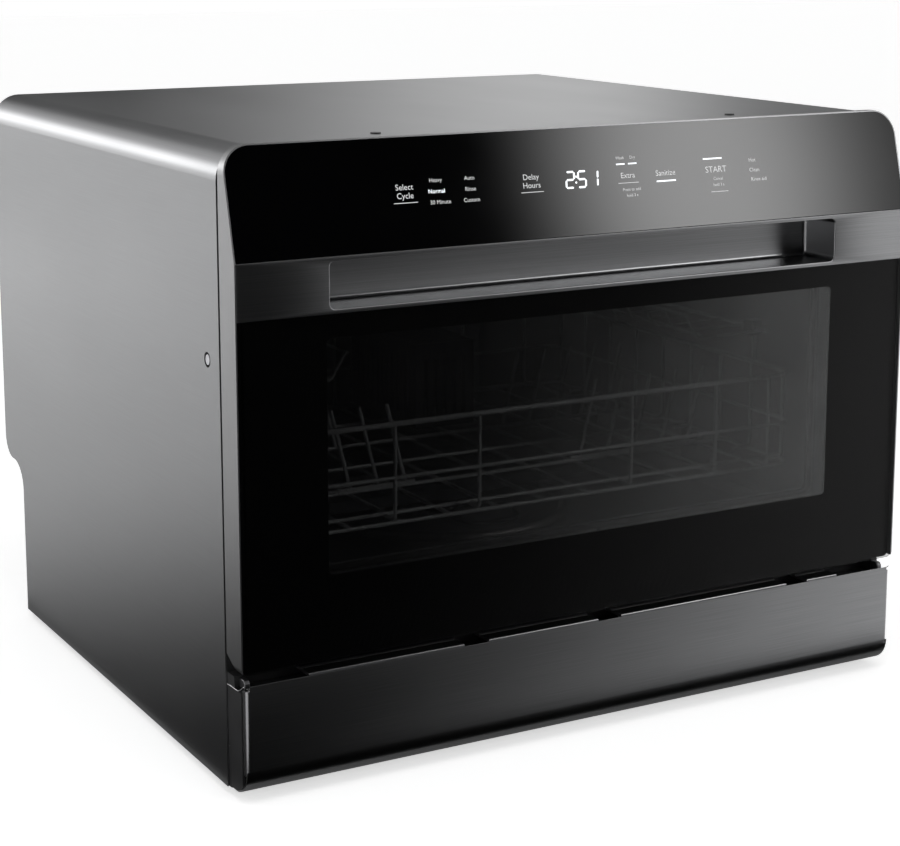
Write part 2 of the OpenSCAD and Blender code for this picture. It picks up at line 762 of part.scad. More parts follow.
module drain_pump() color([0.18, 0.18, 0.2]) translate([0, drain_pump_y, drain_pump_z]) rotate([0, -90, 0]) {
    difference() {
        union() {
            translate([0, 0, -drain_pump_x]) cylinder(r = 23, h = 20);
            translate([0, 0, spigot_end + seat_gap]) cylinder(r = drain_spigot_r, h = -drain_pump_x - spigot_end);
            translate([0, 0, -drain_pump_x + 19]) cylinder(r = drain_motor_r, h = 38);
            // Outlet towards the rear
            translate([0, 0, -drain_pump_x + 10]) rotate([-90, 0, 0]) cylinder(r = drain_r, h = 40);
        }
        translate([0, 0, -drain_pump_x + 2.5]) cylinder(r = 20, h = 14);
        translate([0, 0, spigot_end - eps]) cylinder(r = drain_spigot_r - 3, h = -drain_pump_x - spigot_end + 6);
        translate([0, 0, -drain_pump_x + 14]) cylinder(r = 2 + running_gap, h = 10);
        translate([0, 0, -drain_pump_x + 10]) rotate([-90, 0, 0]) cylinder(r = drain_r - 2.5, h = 41);
    }
}

module drain_impeller() color([0.65, 0.65, 0.66]) translate([drain_pump_x - 13, drain_pump_y, drain_pump_z])
    rotate([0, -90, 0]) impeller(17, 2, 6, 2, 9, 5);

module inlet_valve() color([0.9, 0.9, 0.88]) {
    body_y = rear_wall_y - sheet_t - seat_gap;
    bar_y(body_y - 20, body_y + 25, inlet_x, service_z, inlet_r);
    block([inlet_x - 20, body_y - 42, service_z - 20], [inlet_x + 20, body_y - 5, service_z + 20]);
    bar_z(service_z + 19, service_z + 44, inlet_x, body_y - 28, 13);
    bar_y(body_y - 60, body_y - 40, inlet_x, service_z, 6);
    block([inlet_x - 12, body_y - 30, tray_floor_z + seat_gap], [inlet_x + 12, body_y - 12, service_z - 19]);
}

module drain_outlet() color([0.2, 0.2, 0.2]) {
    inside_y = rear_wall_y - 14;
    difference() {
        union() {
            bar_y(inside_y, rear_wall_y + 30, drain_x, service_z, drain_r);
            bar_y(rear_wall_y, rear_wall_y + 2.5, drain_x, service_z, drain_r + 6);
        }
        bar_y(inside_y - eps, rear_wall_y + 40, drain_x, service_z, drain_r - 2.5);
    }
}

// Hose from the drain pump's outlet to the rear spigot, in straight runs with one square bend
module water_hoses() color([0.3, 0.3, 0.32]) {
    hose_r = drain_r - 2.7;
    start_x = drain_pump_x - 10;
    start_y = drain_pump_y + 41;
    cross_y = rear_wall_y - 60;
    end_y = rear_wall_y - 14 - seat_gap;
    bar_y(start_y, cross_y, start_x, drain_pump_z, hose_r);
    translate([start_x, cross_y, drain_pump_z]) sphere(hose_r);
    bar_x(drain_x, start_x, cross_y, drain_pump_z, hose_r);
    translate([drain_x, cross_y, drain_pump_z]) sphere(hose_r);
    bar_z(drain_pump_z, service_z, drain_x, cross_y, hose_r);
    translate([drain_x, cross_y, service_z]) sphere(hose_r);
    bar_y(cross_y, end_y, drain_x, service_z, hose_r);
}

module cord_gland() color([0.06, 0.06, 0.06]) {
    difference() {
        union() {
            bar_y(rear_wall_y, rear_wall_y + 5, gland_x, service_z, 13);
            bar_y(rear_wall_y, rear_wall_y + 17, gland_x, service_z, 10);
            bar_y(rear_wall_y - 12, rear_wall_y + eps, gland_x, service_z, 8.7);
        }
        bar_y(rear_wall_y - 20, rear_wall_y + 30, gland_x, service_z, cord_entry_r);
    }
}

module power_board() color([0.1, 0.35, 0.2]) {
    x0 = half_w - 145;
    y0 = casing_front_y + 32;
    base = tray_floor_z + seat_gap;
    difference() {
        block([x0, y0, base], [x0 + 100, y0 + 56, base + 24]);
        block([x0 + 2, y0 + 2, base + 2], [x0 + 98, y0 + 54, base + 30]);
    }
    block([x0 + 1, y0 + 1, base + 8], [x0 + 99, y0 + 55, base + 9.6]);
    bar_z(base + 9, base + 22, x0 + 20, y0 + 18, 8);
    bar_z(base + 9, base + 22, x0 + 20, y0 + 38, 8);
    block([x0 + 36, y0 + 10, base + 9], [x0 + 54, y0 + 28, base + 23]);
    block([x0 + 62, y0 + 8, base + 9], [x0 + 90, y0 + 20, base + 20]);
    block([x0 + 62, y0 + 30, base + 9], [x0 + 90, y0 + 46, base + 16]);
}

module overflow_float() color([0.85, 0.85, 0.84]) translate([float_x, float_y, tub_floor_z]) rotate_extrude()
    polygon([[0, -18], [float_stem_r, -18], [float_stem_r, guide_gap], [17, guide_gap], [18, 2], [18, 12],
        [16, 16], [11, 18.5], [0, 19.5]]);

// ---------- door ----------

// Front outline of the door, moved in by a distance, with its lower corners rounded
door_foot_r = 4;
module door_outline(inset) {
    w = body_w - 2 * inset;
    h = body_h - door_bottom_z + 20;
    intersection() {
        arch(w, door_bottom_z - eps, body_h - inset, door_corner_r - inset);
        rounded(w, h, door_foot_r - inset, 0, door_bottom_z + h / 2);
    }
}

// Side view of everything behind the door's front, which is moved in by a distance.
// The front is upright below and raked above.
module behind_front(inset) {
    face_y = door_front_y + inset;
    knee_z = strip_top_z - inset * tan(panel_rake / 2);
    high_z = body_h + 2 * eps;
    high_y = face_y + (high_z - knee_z) * tan(panel_rake);
    polygon([[face_y, door_bottom_z - eps], [0, door_bottom_z - eps], [0, high_z], [high_y, high_z], [face_y, knee_z]]);
}

// Side view of the door up to a rear plane, with a lower edge that rises to the rear
heel_rise = 9;
heel_in = 8;
module door_profile(inset, rear) intersection() {
    heel_z = door_bottom_z + heel_rise * (rear - door_front_y - heel_in) / (door_t - heel_in);
    behind_front(inset);
    polygon([[door_front_y, door_bottom_z], [door_front_y + heel_in, door_bottom_z], [rear, heel_z],
        [rear, body_h], [door_front_y, body_h]]);
}

// Solid of the door between two insets of its front
module door_layer(inset0, inset1, side_inset) {
    intersection() {
        along_y(door_front_y, door_rear_y) door_outline(side_inset);
        along_x(-half_w, half_w) difference() {
            door_profile(inset0, door_rear_y);
            door_profile(inset1, door_rear_y + eps);
        }
    }
}

// Opening through the door's bottom and rear for the hinge ears
module hinge_slots() {
    both_sides() block([slot_x0, door_front_y + web_front, door_bottom_z - 2],
        [slot_x1, casing_front_y, hinge_z + ear_r + 6]);
}

// Steel wrap: the door's sides and top edge
module door_frame() color([0.36, 0.36, 0.37]) {
    intersection() {
        along_x(-half_w, half_w) door_profile(0, door_rear_y);
        along_y(door_front_y, door_rear_y) difference() {
            door_outline(0);
            translate([0, -2 * rim_t]) arch(body_w - 2 * rim_t, door_bottom_z - 2, body_h + rim_t, door_corner_r - rim_t);
        }
    }
}

// Hollow of the carrier, open to the rear, inside its walls and behind its front web
module carrier_hollow(side_inset, low_z) intersection() {
    along_y(door_front_y, door_rear_y)
        arch(body_w - 2 * side_inset, low_z, body_h - side_inset, door_corner_r - side_inset);
    along_x(-half_w, half_w) behind_front(web_front + web_t);
}

// Dark carrier behind the glass, which everything in the door is fixed to
module door_carrier() color([0.09, 0.09, 0.1]) {
    side = rim_t + seat_gap;
    wall = 2.2;
    rear = door_rear_y - liner_t;
    difference() {
        intersection() {
            along_y(door_front_y, rear) door_outline(side);
            along_x(-half_w, half_w) door_profile(web_front, rear);
        }
        carrier_hollow(side + wall, door_bottom_z + heel_rise + wall);
        along_y(door_front_y, door_rear_y) rounded(window_w, window_h, 4, 0, window_mid_z);
        along_y(door_front_y, door_rear_y) rounded(pocket_w + 5, pocket_h + 5, 5, 0, pocket_mid_z);
        block([display_x - display_w / 2, door_front_y, display_z - display_h / 2],
            [display_x + display_w / 2, door_rear_y, display_z + display_h / 2]);
        hinge_slots();
    }
}

display_x = -9;
display_z = strip_top_z + 38;
display_w = 44;
display_h = 18;
seam = 0.4;

module control_panel() color([0.03, 0.03, 0.035]) intersection() {
    door_layer(0, glass_t, rim_t + seat_gap / 2);
    block([-half_w, door_front_y, strip_top_z + seam], [half_w, door_rear_y, body_h]);
}

module door_glass() color([0.02, 0.02, 0.025]) {
    width = body_w - 2 * rim_t - seat_gap;
    height = strip_bottom_z - seam - door_bottom_z;
    along_y(door_front_y, door_front_y + glass_t)
        rounded(width, height, 4, 0, door_bottom_z + height / 2);
}

module glass_border() color([0.01, 0.01, 0.01]) {
    width = body_w - 2 * rim_t - seat_gap;
    height = strip_bottom_z - seam - door_bottom_z;
    along_y(door_front_y + glass_t, door_front_y + web_front) difference() {
        rounded(width, height, 4, 0, door_bottom_z + height / 2);
        rounded(window_w, window_h, 3, 0, window_mid_z);
    }
}

// Steel strip with the pressed finger pocket
module handle_strip() color([0.36, 0.36, 0.37]) {
    strip_t = 1;
    pocket_t = 1.2;
    pocket_r = 4;
    width = body_w - 2 * rim_t;
    difference() {
        union() {
            block([-width / 2, door_front_y, strip_bottom_z], [width / 2, door_front_y + strip_t, strip_top_z]);
            // Folded edges that hook over the carrier
            block([-width / 2, door_front_y, strip_top_z - strip_t - 0.4], [width / 2, door_front_y + glass_t, strip_top_z - 0.4]);
            block([-width / 2, door_front_y, strip_bottom_z], [width / 2, door_front_y + glass_t, strip_bottom_z + strip_t]);
            along_y(door_front_y, door_front_y + pocket_d + pocket_t)
                rounded(pocket_w + 2 * pocket_t, pocket_h + 2 * pocket_t, pocket_r + pocket_t, 0, pocket_mid_z);
        }
        along_y(door_front_y - eps, door_front_y + pocket_d)
            rounded(pocket_w, pocket_h, pocket_r, 0, pocket_mid_z);
    }
}

pane_margin = 5;
pane_rear_y = field_y - liner_t - 2.4;

module window_pane() color([0.5, 0.55, 0.55, 0.4]) {
    along_y(pane_rear_y - pane_t, pane_rear_y)
        rounded(window_w + 2 * pane_margin, window_h + 2 * pane_margin, 8, 0, window_mid_z);
}

module window_seal() color([0.04, 0.04, 0.04]) {
    along_y(pane_rear_y, field_y - liner_t) difference() {
        rounded(window_w + 2 * pane_margin, window_h + 2 * pane_margin, 8, 0, window_mid_z);
        rounded(window_w + 2, window_h + 2, 4, 0, window_mid_z);
    }
}

// Places on the door liner, under the window
dispenser_x0 = 16;
dispenser_x1 = 142;
dispenser_z0 = field_bottom_z + 2;
dispenser_z1 = dispenser_z0 + 30;
dispenser_mid_z = (dispenser_z0 + dispenser_z1) / 2;
cap_x = 30;
cap_hole_r = 7.3;
bolt_half_w = 8;
bolt_y0 = strike_y + strike_lip_t + 2;
bolt_y1 = bolt_y0 + 4.5;

module liner_block(margin, front, rear_inset) {
    along_y(front, field_y - rear_inset)
        rounded(2 * (field_half_w - margin), field_top_z - field_bottom_z - 2 * margin, 14 - margin, 0,
            (field_top_z + field_bottom_z) / 2);
    along_y(front, bulge_y - rear_inset)
        rounded(2 * (bulge_half_w - margin), bulge_top_z - bulge_bottom_z - 2 * margin, 10 - margin, 0,
            (bulge_top_z + bulge_bottom_z) / 2);
}

module door_liner() color([0.7, 0.71, 0.72]) {
    difference() {
        union() {
            intersection() {
                along_y(door_rear_y - liner_t, door_rear_y) door_outline(rim_t + seat_gap);
                along_x(-half_w, half_w) door_profile(0, door_rear_y);
                block([-half_w, front_y, door_bottom_z + heel_rise], [half_w, back_y, body_h]);
            }
            liner_block(0, door_rear_y - liner_t, 0);
        }
        liner_block(liner_t, door_rear_y - liner_t - eps, liner_t);
        along_y(front_y, back_y) rounded(window_w, window_h, 4, 0, window_mid_z);
        block([dispenser_x0 + 3, door_front_y, dispenser_z0 + 2], [dispenser_x1 - 3, 0, dispenser_z1 - 2]);
        block([-bolt_half_w - 1, bolt_y0 - 1, bulge_top_z - 8], [bolt_half_w + 1, bolt_y1 + 1, bulge_top_z + eps]);
        hinge_slots();
    }
}

module control_board() color([0.08, 0.3, 0.16]) {
    board_gap = web_front + web_t + 1;
    board_half_w = half_w - 97;
    intersection() {
        along_x(-board_half_w, board_half_w) difference() {
            door_profile(board_gap, door_rear_y);
            door_profile(board_gap + 1.6, door_rear_y + eps);
        }
        block([-board_half_w, front_y, strip_top_z + 10], [board_half_w, back_y, strip_top_z + 46]);
    }
    // Clock display, standing off the board into the carrier's window
    intersection() {
        along_x(display_x - display_w / 2 + 1, display_x + display_w / 2 - 1) difference() {
            door_profile(web_front + 0.4, door_rear_y);
            door_profile(board_gap + 0.4, door_rear_y + eps);
        }
        block([-100, front_y, display_z - display_h / 2 + 2], [100, back_y, display_z + display_h / 2 - 2]);
    }
}

module latch_housing() color([0.13, 0.13, 0.14]) {
    top = bulge_top_z - liner_t - seat_gap;
    y0 = bolt_y0 - 2.5;
    y1 = bulge_y - liner_t - seat_gap;
    half = 22;
    low = top - 29;
    difference() {
        block([-half, y0, low], [half, y1, top]);
        block([-bolt_half_w - guide_gap, bolt_y0 - guide_gap, low + 2],
            [bolt_half_w + guide_gap, bolt_y1 + guide_gap, top + eps]);
    }
}

module latch_bolt() color([0.8, 0.8, 0.78]) {
    top = bulge_top_z - 0.5;
    low = top - 26;
    along_x(-bolt_half_w, bolt_half_w)
        polygon([[bolt_y0, low], [bolt_y1, low], [bolt_y1, top - 4], [bolt_y0 + 1.5, top], [bolt_y0, top]]);
}

module hinge_arms() color([0.6, 0.6, 0.62]) both_sides() {
    front = door_front_y + web_front + web_t + seat_gap;
    difference() {
        along_x(arm_x, arm_x + arm_t) {
            translate([hinge_y, hinge_z]) circle(ear_r);
            translate([front, hinge_z]) square([hinge_y + ear_r - front, 20]);
            translate([front, hinge_z + 16]) square([16, 90]);
        }
        bar_x(arm_x - eps, arm_x + arm_t + eps, hinge_y, hinge_z, hinge_pin_r + running_gap);
    }
}

lid_w = 48;
cup_x1 = dispenser_x1 - 6;
cup_x0 = cup_x1 - 42;
face_y = field_y + 3;

module detergent_dispenser() color([0.2, 0.2, 0.21]) {
    body_y = door_rear_y - 14;
    difference() {
        union() {
            block([dispenser_x0, field_y, dispenser_z0], [dispenser_x1, face_y, dispenser_z1]);
            block([dispenser_x0 + 4, body_y, dispenser_z0 + 3], [dispenser_x1 - 4, face_y, dispenser_z1 - 3]);
        }
        block([cup_x0, body_y + 2, dispenser_z0 + 5], [cup_x1, face_y + eps, dispenser_z1 - 5]);
        bar_y(body_y + 2, face_y + eps, cap_x, dispenser_mid_z, cap_hole_r);
    }
    // Guides above and below the sliding lid
    for (z = [dispenser_z0, dispenser_z1 - 1.2])
        block([dispenser_x0 + 26, face_y - eps, z], [dispenser_x1, face_y + 2, z + 1.2]);
}

module detergent_lid() color([0.3, 0.3, 0.32]) {
    x1 = cup_x1 + 3;
    y0 = face_y + guide_gap;
    low = dispenser_z0 + 1.2 + guide_gap;
    high = dispenser_z1 - 1.2 - guide_gap;
    block([x1 - lid_w, y0, low], [x1, y0 + 1.6, high]);
    for (i = [0:3])
        block([x1 - lid_w + 5 + i * 4, y0 + 1.5, low + 5], [x1 - lid_w + 6.5 + i * 4, y0 + 2.4, high - 5]);
}

module rinse_cap() color([0.25, 0.3, 0.42]) {
    y0 = face_y + guide_gap;
    bar_y(y0, y0 + 1.6, cap_x, dispenser_mid_z, 10.5);
    bar_y(y0 - 9, y0 + eps, cap_x, dispenser_mid_z, cap_hole_r - guide_gap);
    block([cap_x - 8, y0 + 1, dispenser_mid_z - 1.5], [cap_x + 8, y0 + 3.6, dispenser_mid_z + 1.5]);
}

// ---------- rack ----------

wire_color = [0.5, 0.5, 0.5];
floor_pitch = 40;
floor_half = floor(rack_half_w / floor_pitch - 0.2) * floor_pitch;

module rack_floor() color(wire_color) {
    in_y0 = rack_front_y + rim_r + seat_gap;
    in_y1 = rack_rear_y - rim_r - seat_gap;
    in_x = rack_half_w - rim_r - seat_gap;
    for (x = [-floor_half:floor_pitch:floor_half]) bar_y(in_y0, in_y1, x, rack_floor_z, wire_r);
    for (i = [0:5]) bar_x(-in_x, in_x, in_y0 + 14 + i * (in_y1 - in_y0 - 28) / 5, cross_wire_z, wire_r);
}

outer_post_in = [33, 23];
front_posts = [outer_post_in[0] - rack_half_w, -125, -56, 76, 154, rack_half_w - outer_post_in[1]];
rear_posts = 7;

// Upright wire grid across the rack at a given depth
module rack_end(y, posts) {
    in_x = rack_half_w - rim_r - seat_gap;
    bar_x(-in_x, in_x, y, rack_rim_z, rim_r);
    bar_x(-in_x, in_x, y, rack_mid_z, wire_r);
    bar_x(-in_x, in_x, y, rack_floor_z, wire_r);
    for (x = posts) bar_z(rack_floor_z, rack_rim_z, x, y, wire_r);
}

module rack_front() color(wire_color) rack_end(rack_front_y, front_posts);

module rack_rear() color(wire_color) {
    end_x = rack_half_w - outer_post_in[0];
    rack_end(rack_rear_y, [for (i = [0:rear_posts - 1]) -end_x + i * 2 * end_x / (rear_posts - 1)]);
}

module rack_sides() color(wire_color) both_sides() {
    bar_y(rack_front_y, rack_rear_y, rack_half_w, rack_rim_z, rim_r);
    bar_y(rack_front_y, rack_rear_y, rack_half_w, rack_mid_z, wire_r);
    bar_y(rack_front_y, rack_rear_y, rack_half_w, rack_floor_z, wire_r);
    for (i = [0:8])
        bar_z(rack_floor_z, rack_rim_z, rack_half_w, rack_front_y + 12 + i * (rack_len - 24) / 8, wire_r);
    // Tall posts that carry the cup shelf
    for (y = [shelf_front_y + 20, shelf_front_y + shelf_len - 20])
        bar_z(rack_rim_z, shelf_z - 6 - seat_gap, rack_half_w, y, rim_r);
}

// Row of leaning tines on one base wire
module tine_row(x0, x1, count, y, lean) {
    pitch = (x1 - x0) / (count - 1);
    bar_x(x0 - 8, x1 + 8, y, tine_base_z, wire_r);
    for (i = [0:count - 1])
        translate([x0 + i * pitch, y, tine_base_z]) rotate([0, lean, 0]) {
            cylinder(r = wire_r, h = tine_h - (tine_base_z - rack_floor_z));
            translate([0, 0, tine_h - (tine_base_z - rack_floor_z)]) sphere(wire_r);
        }
}

tine_rows = [85, 205];
tine_side_in = 40;
plate_inner_x = -72;
bowl_inner_x = 84;
plate_tine_count = 6;
bowl_tine_count = 5;

module plate_tines() color(wire_color)
    for (row = tine_rows) tine_row(tine_side_in - rack_half_w, plate_inner_x, plate_tine_count, rack_front_y + row, -tine_lean);

module bowl_tines() color(wire_color)
    for (row = tine_rows) tine_row(bowl_inner_x, rack_half_w - tine_side_in, bowl_tine_count, rack_front_y + row, tine_lean);

// Roller carriers under the sides and the clips of the cup shelves
module rack_fittings() color([0.25, 0.26, 0.28]) both_sides() {
    for (y = [rack_front_y + roller_front_in, rack_front_y + roller_rear_in]) {
        block([rack_half_w - 7, y - 11, roller_z - 6], [rack_half_w + 1, y + 11, rack_floor_z - wire_r - seat_gap]);
        bar_x(rack_half_w, roller_x + roller_w + 1.2, y, roller_z, axle_r);
        bar_x(roller_x + roller_w + seat_gap, roller_x + roller_w + 1.2, y, roller_z, axle_r + 1.2);
    }
    for (y = [shelf_front_y + 20, shelf_front_y + shelf_len - 20]) difference() {
        block([clip_x - 4, y - 6, shelf_z - 6], [rack_half_w + 3, y + 6, shelf_z + 6]);
        bar_y(y - 7, y + 7, clip_x, shelf_z, wire_r + running_gap);
    }
}

module roller() color([0.3, 0.31, 0.33]) {
    rim = 3;
    web = 1.2;
    rotate([0, 90, 0]) rotate_extrude() difference() {
        translate([axle_r + running_gap, 0]) square([roller_r - axle_r - running_gap, roller_w]);
        translate([axle_r + 2, -eps]) square([roller_r - axle_r - 2 - rim, web + eps]);
        translate([axle_r + 2, roller_w - web]) square([roller_r - axle_r - 2 - rim, web + eps]);
    }
}
module roller_at(side, inset) {
    x0 = side > 0 ? roller_x : -roller_x - roller_w;
    translate([x0, rack_front_y + inset, roller_z]) roller();
}
module roller_front_left() roller_at(-1, roller_front_in);
module roller_front_right() roller_at(1, roller_front_in);
module roller_rear_left() roller_at(-1, roller_rear_in);
module roller_rear_right() roller_at(1, roller_rear_in);

// Fold-up shelf: hinge wire, two rails, bars across and an upturned inner edge
module cup_shelf() color(wire_color) {
    y0 = shelf_front_y;
    y1 = shelf_front_y + shelf_len;
    lip_in = 12;
    lip_up = 19;
    lip_len = sqrt(lip_in * lip_in + lip_up * lip_up);
    bars = 9;
    edge_x = clip_x - shelf_reach;
    bar_y(y0, y1, clip_x, shelf_z, wire_r);
    bar_y(y0, y1, edge_x, shelf_z, wire_r);
    bar_y(y0, y1, edge_x - lip_in, shelf_z + lip_up, wire_r);
    for (i = [0:bars - 1]) {
        y = y0 + 3 + i * (y1 - y0 - 6) / (bars - 1);
        bar_x(edge_x, clip_x, y, shelf_z, wire_r * 0.8);
        translate([edge_x, y, shelf_z]) rotate([0, -atan2(lip_in, lip_up), 0]) cylinder(r = wire_r * 0.8, h = lip_len);
    }
}
module cup_shelf_right() cup_shelf();
module cup_shelf_left() mirror([1, 0, 0]) cup_shelf();

basket_x = 40;
basket_y = rack_rear_y - 10 - basket_len / 2;

// Slotted plastic basket for cutlery, with a divider and a carrying handle
module cutlery_basket() color([0.28, 0.29, 0.31]) translate([basket_x, basket_y, basket_z]) {
    wall = 2;
    slot_w = 3;
    slot_pitch = 9;
    side_slots = floor((basket_len - 16) / slot_pitch / 2);
    end_slots = floor((basket_w - 14) / slot_pitch / 2);
    inner_w = basket_w - 2 * wall;
    inner_len = basket_len - 2 * wall;
    difference() {
        translate([-basket_w / 2, -basket_len / 2, 0]) cube([basket_w, basket_len, basket_h]);
        for (half = [-1, 1])
            translate([-inner_w / 2, half > 0 ? wall / 2 : -inner_len / 2, wall]) cube([inner_w, inner_len / 2 - wall / 2, basket_h]);
        for (i = [-side_slots:side_slots])
            translate([-basket_w, i * slot_pitch - slot_w / 2, 10]) cube([2 * basket_w, slot_w, basket_h - 24]);
        for (i = [-end_slots:end_slots])
            translate([i * slot_pitch - slot_w / 2, -basket_len, 10]) cube([slot_w, 2 * basket_len, basket_h - 24]);
    }
    // Handle on the divider
    translate([-12, -wall / 2, basket_h - 1]) difference() {
        cube([24, wall, 20]);
        translate([5, -eps, 3]) cube([14, 2 * wall + eps, 11]);
    }
}

outer_casing();
rear_panel();
base_tray();
feet();
kick_carrier();
kick_plate();
tub();
front_frame();
tub_gasket();
door_strike();
hinge_brackets();
hinge_pins();
casing_screws();
top_plugs();
sump_housing();
filter_plate();
filter_cylinder();
spray_arm_hub();
spray_arm();
heating_element();
circulation_pump();
pump_impeller();
drain_pump();
drain_impeller();
inlet_valve();
drain_outlet();
water_hoses();
cord_gland();
power_board();
overflow_float();
door_frame();
door_carrier();
control_panel();
handle_strip();
door_glass();
glass_border();
window_pane();
window_seal();
door_liner();
control_board();
latch_housing();
latch_bolt();
hinge_arms();
detergent_dispenser();
detergent_lid();
rinse_cap();
rack_floor();
rack_front();
rack_rear();
rack_sides();
plate_tines();
bowl_tines();
rack_fittings();
roller_front_left();
roller_front_right();
roller_rear_left();
roller_rear_right();
cup_shelf_left();
cup_shelf_right();
cutlery_basket();
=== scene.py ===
"""Looks of a countertop dishwasher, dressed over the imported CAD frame.

Units are metres, +X to the right seen from the front, +Y to the back, +Z up.
"""

import math

import bmesh
import bpy
from mathutils import Matrix, Vector

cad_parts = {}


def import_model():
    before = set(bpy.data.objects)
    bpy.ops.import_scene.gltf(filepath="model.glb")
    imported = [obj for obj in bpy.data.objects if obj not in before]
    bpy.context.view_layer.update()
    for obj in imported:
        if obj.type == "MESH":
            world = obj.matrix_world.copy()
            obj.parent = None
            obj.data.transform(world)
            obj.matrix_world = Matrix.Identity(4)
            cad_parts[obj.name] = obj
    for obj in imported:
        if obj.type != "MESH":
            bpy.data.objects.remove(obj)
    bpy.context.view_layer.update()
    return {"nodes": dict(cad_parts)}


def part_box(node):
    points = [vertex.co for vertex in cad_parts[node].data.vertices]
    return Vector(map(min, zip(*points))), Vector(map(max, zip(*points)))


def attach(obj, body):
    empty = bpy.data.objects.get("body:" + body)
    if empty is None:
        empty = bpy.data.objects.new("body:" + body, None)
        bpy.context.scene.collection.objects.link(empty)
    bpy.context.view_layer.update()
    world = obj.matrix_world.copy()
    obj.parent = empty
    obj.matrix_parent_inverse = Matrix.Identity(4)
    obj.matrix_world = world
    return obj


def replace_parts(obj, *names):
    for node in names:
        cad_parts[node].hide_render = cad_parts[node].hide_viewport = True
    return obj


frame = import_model()
NODES = frame["nodes"]

MM = 0.001

# ---------------------------------------------------------------- places taken from the frame

strip_low, strip_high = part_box("handle_strip")
glass_low, glass_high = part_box("door_glass")
kick_low, kick_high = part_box("kick_plate")
rack_front_low, rack_front_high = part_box("rack_front")
rack_rear_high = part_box("rack_rear")[1]
rack_sides_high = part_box("rack_sides")[1]
rack_floor_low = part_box("rack_floor")[0]

DOOR_FRONT = glass_low.y
PANEL_RAKE = math.radians(14.5)

# ---------------------------------------------------------------- node material helpers


class Shader:
    """A Principled material whose details are added as small node chains in object space."""

    def __init__(self, name, color, rough, metallic=0.0, **constants):
        self.mat = bpy.data.materials.new(name)
        self.mat.use_nodes = True
        self.tree = self.mat.node_tree
        self.bsdf = self.tree.nodes["Principled BSDF"]
        self.coords = self.tree.nodes.new("ShaderNodeTexCoord")
        self.color = (*color, 1.0)
        self.rough = rough
        self.bsdf.inputs["Base Color"].default_value = self.color
        self.bsdf.inputs["Roughness"].default_value = rough
        self.bsdf.inputs["Metallic"].default_value = metallic
        for socket, value in constants.items():
            self.bsdf.inputs[socket.replace("_", " ")].default_value = value
        self.normal = None

    def node(self, kind, **settings):
        made = self.tree.nodes.new(kind)
        for key, value in settings.items():
            if key in made.inputs:
                made.inputs[key].default_value = value
            else:
                setattr(made, key, value)
        return made

    def link(self, out, into):
        self.tree.links.new(out, into)

    def space(self, scale, turn=(0, 0, 0)):
        """Object coordinates, stretched by a scale in repeats a metre along each axis."""
        mapping = self.node("ShaderNodeMapping", Scale=scale, Rotation=turn)
        self.link(self.coords.outputs["Object"], mapping.inputs["Vector"])
        return mapping.outputs["Vector"]

    def noise(self, scale, detail=3.0, roughness=0.55, turn=(0, 0, 0)):
        texture = self.node("ShaderNodeTexNoise", Scale=1.0, Detail=detail, Roughness=roughness)
        self.link(self.space(scale, turn), texture.inputs["Vector"])
        return texture.outputs["Fac"]

    def ranged(self, value, low, high, start=0.3, end=0.7):
        made = self.node("ShaderNodeMapRange")
        made.inputs["From Min"].default_value = start
        made.inputs["From Max"].default_value = end
        made.inputs["To Min"].default_value = low
        made.inputs["To Max"].default_value = high
        self.link(value, made.inputs["Value"])
        return made.outputs["Result"]

    def tint(self, value, low, high):
        """Base colour swings between two multiples of the material's colour."""
        mix = self.node("ShaderNodeMix", data_type="RGBA")
        mix_a, mix_b = [s for s in mix.inputs if s.type == "RGBA"][:2]
        mix_a.default_value = (*[c * low for c in self.color[:3]], 1)
        mix_b.default_value = (*[c * high for c in self.color[:3]], 1)
        self.link(self.ranged(value, 0, 1), mix.inputs["Factor"])
        out = [s for s in mix.outputs if s.type == "RGBA"][0]
        self.link(out, self.bsdf.inputs["Base Color"])
        return out

    def gloss(self, value, low, high):
        self.link(self.ranged(value, low, high), self.bsdf.inputs["Roughness"])

    def bump(self, value, strength, distance):
        made = self.node("ShaderNodeBump", Strength=strength, Distance=distance)
        self.link(value, made.inputs["Height"])
        if self.normal is not None:
            self.link(self.normal, made.inputs["Normal"])
        self.normal = made.outputs["Normal"]
        self.link(self.normal, self.bsdf.inputs["Normal"])


def brushed(name, color, rough, along, fine=2600.0, swing=0.10, bump=0.10, **constants):
    """Sheet steel with a grain that runs along one axis (0, 1 or 2)."""
    s = Shader(name, color, rough, metallic=1.0, **constants)
    scale = [fine] * 3
    scale[along] = 14.0
    grain = s.noise(scale, detail=2.0)
    broad = s.noise([3.0 if i == along else 9.0 for i in range(3)], detail=2.0)
    s.tint(grain, 1 - swing, 1 + swing)
    s.gloss(broad, rough - 0.02, rough + 0.02)
    s.bump(grain, bump, 0.00006)
    return s


def moulded(name, color, rough, grain=1800.0, bump=0.25, swing=0.06, **constants):
    """Moulded plastic with a spark-eroded grain and faint uneven gloss."""
    s = Shader(name, color, rough, **constants)
    fine = s.noise([grain] * 3, detail=2.0)
    cloud = s.noise([45.0] * 3, detail=3.0)
    s.tint(cloud, 1 - swing, 1 + swing)
    s.gloss(cloud, rough - 0.04, rough + 0.06)
    s.bump(fine, bump, 0.00008)
    return s


def rubber(name, color):
    s = Shader(name, color, 0.72, Specular_IOR_Level=0.35)
    s.tint(s.noise([90.0] * 3), 0.82, 1.25)
    s.gloss(s.noise([260.0] * 3), 0.62, 0.82)
    s.bump(s.noise([1200.0] * 3), 0.3, 0.0001)
    return s


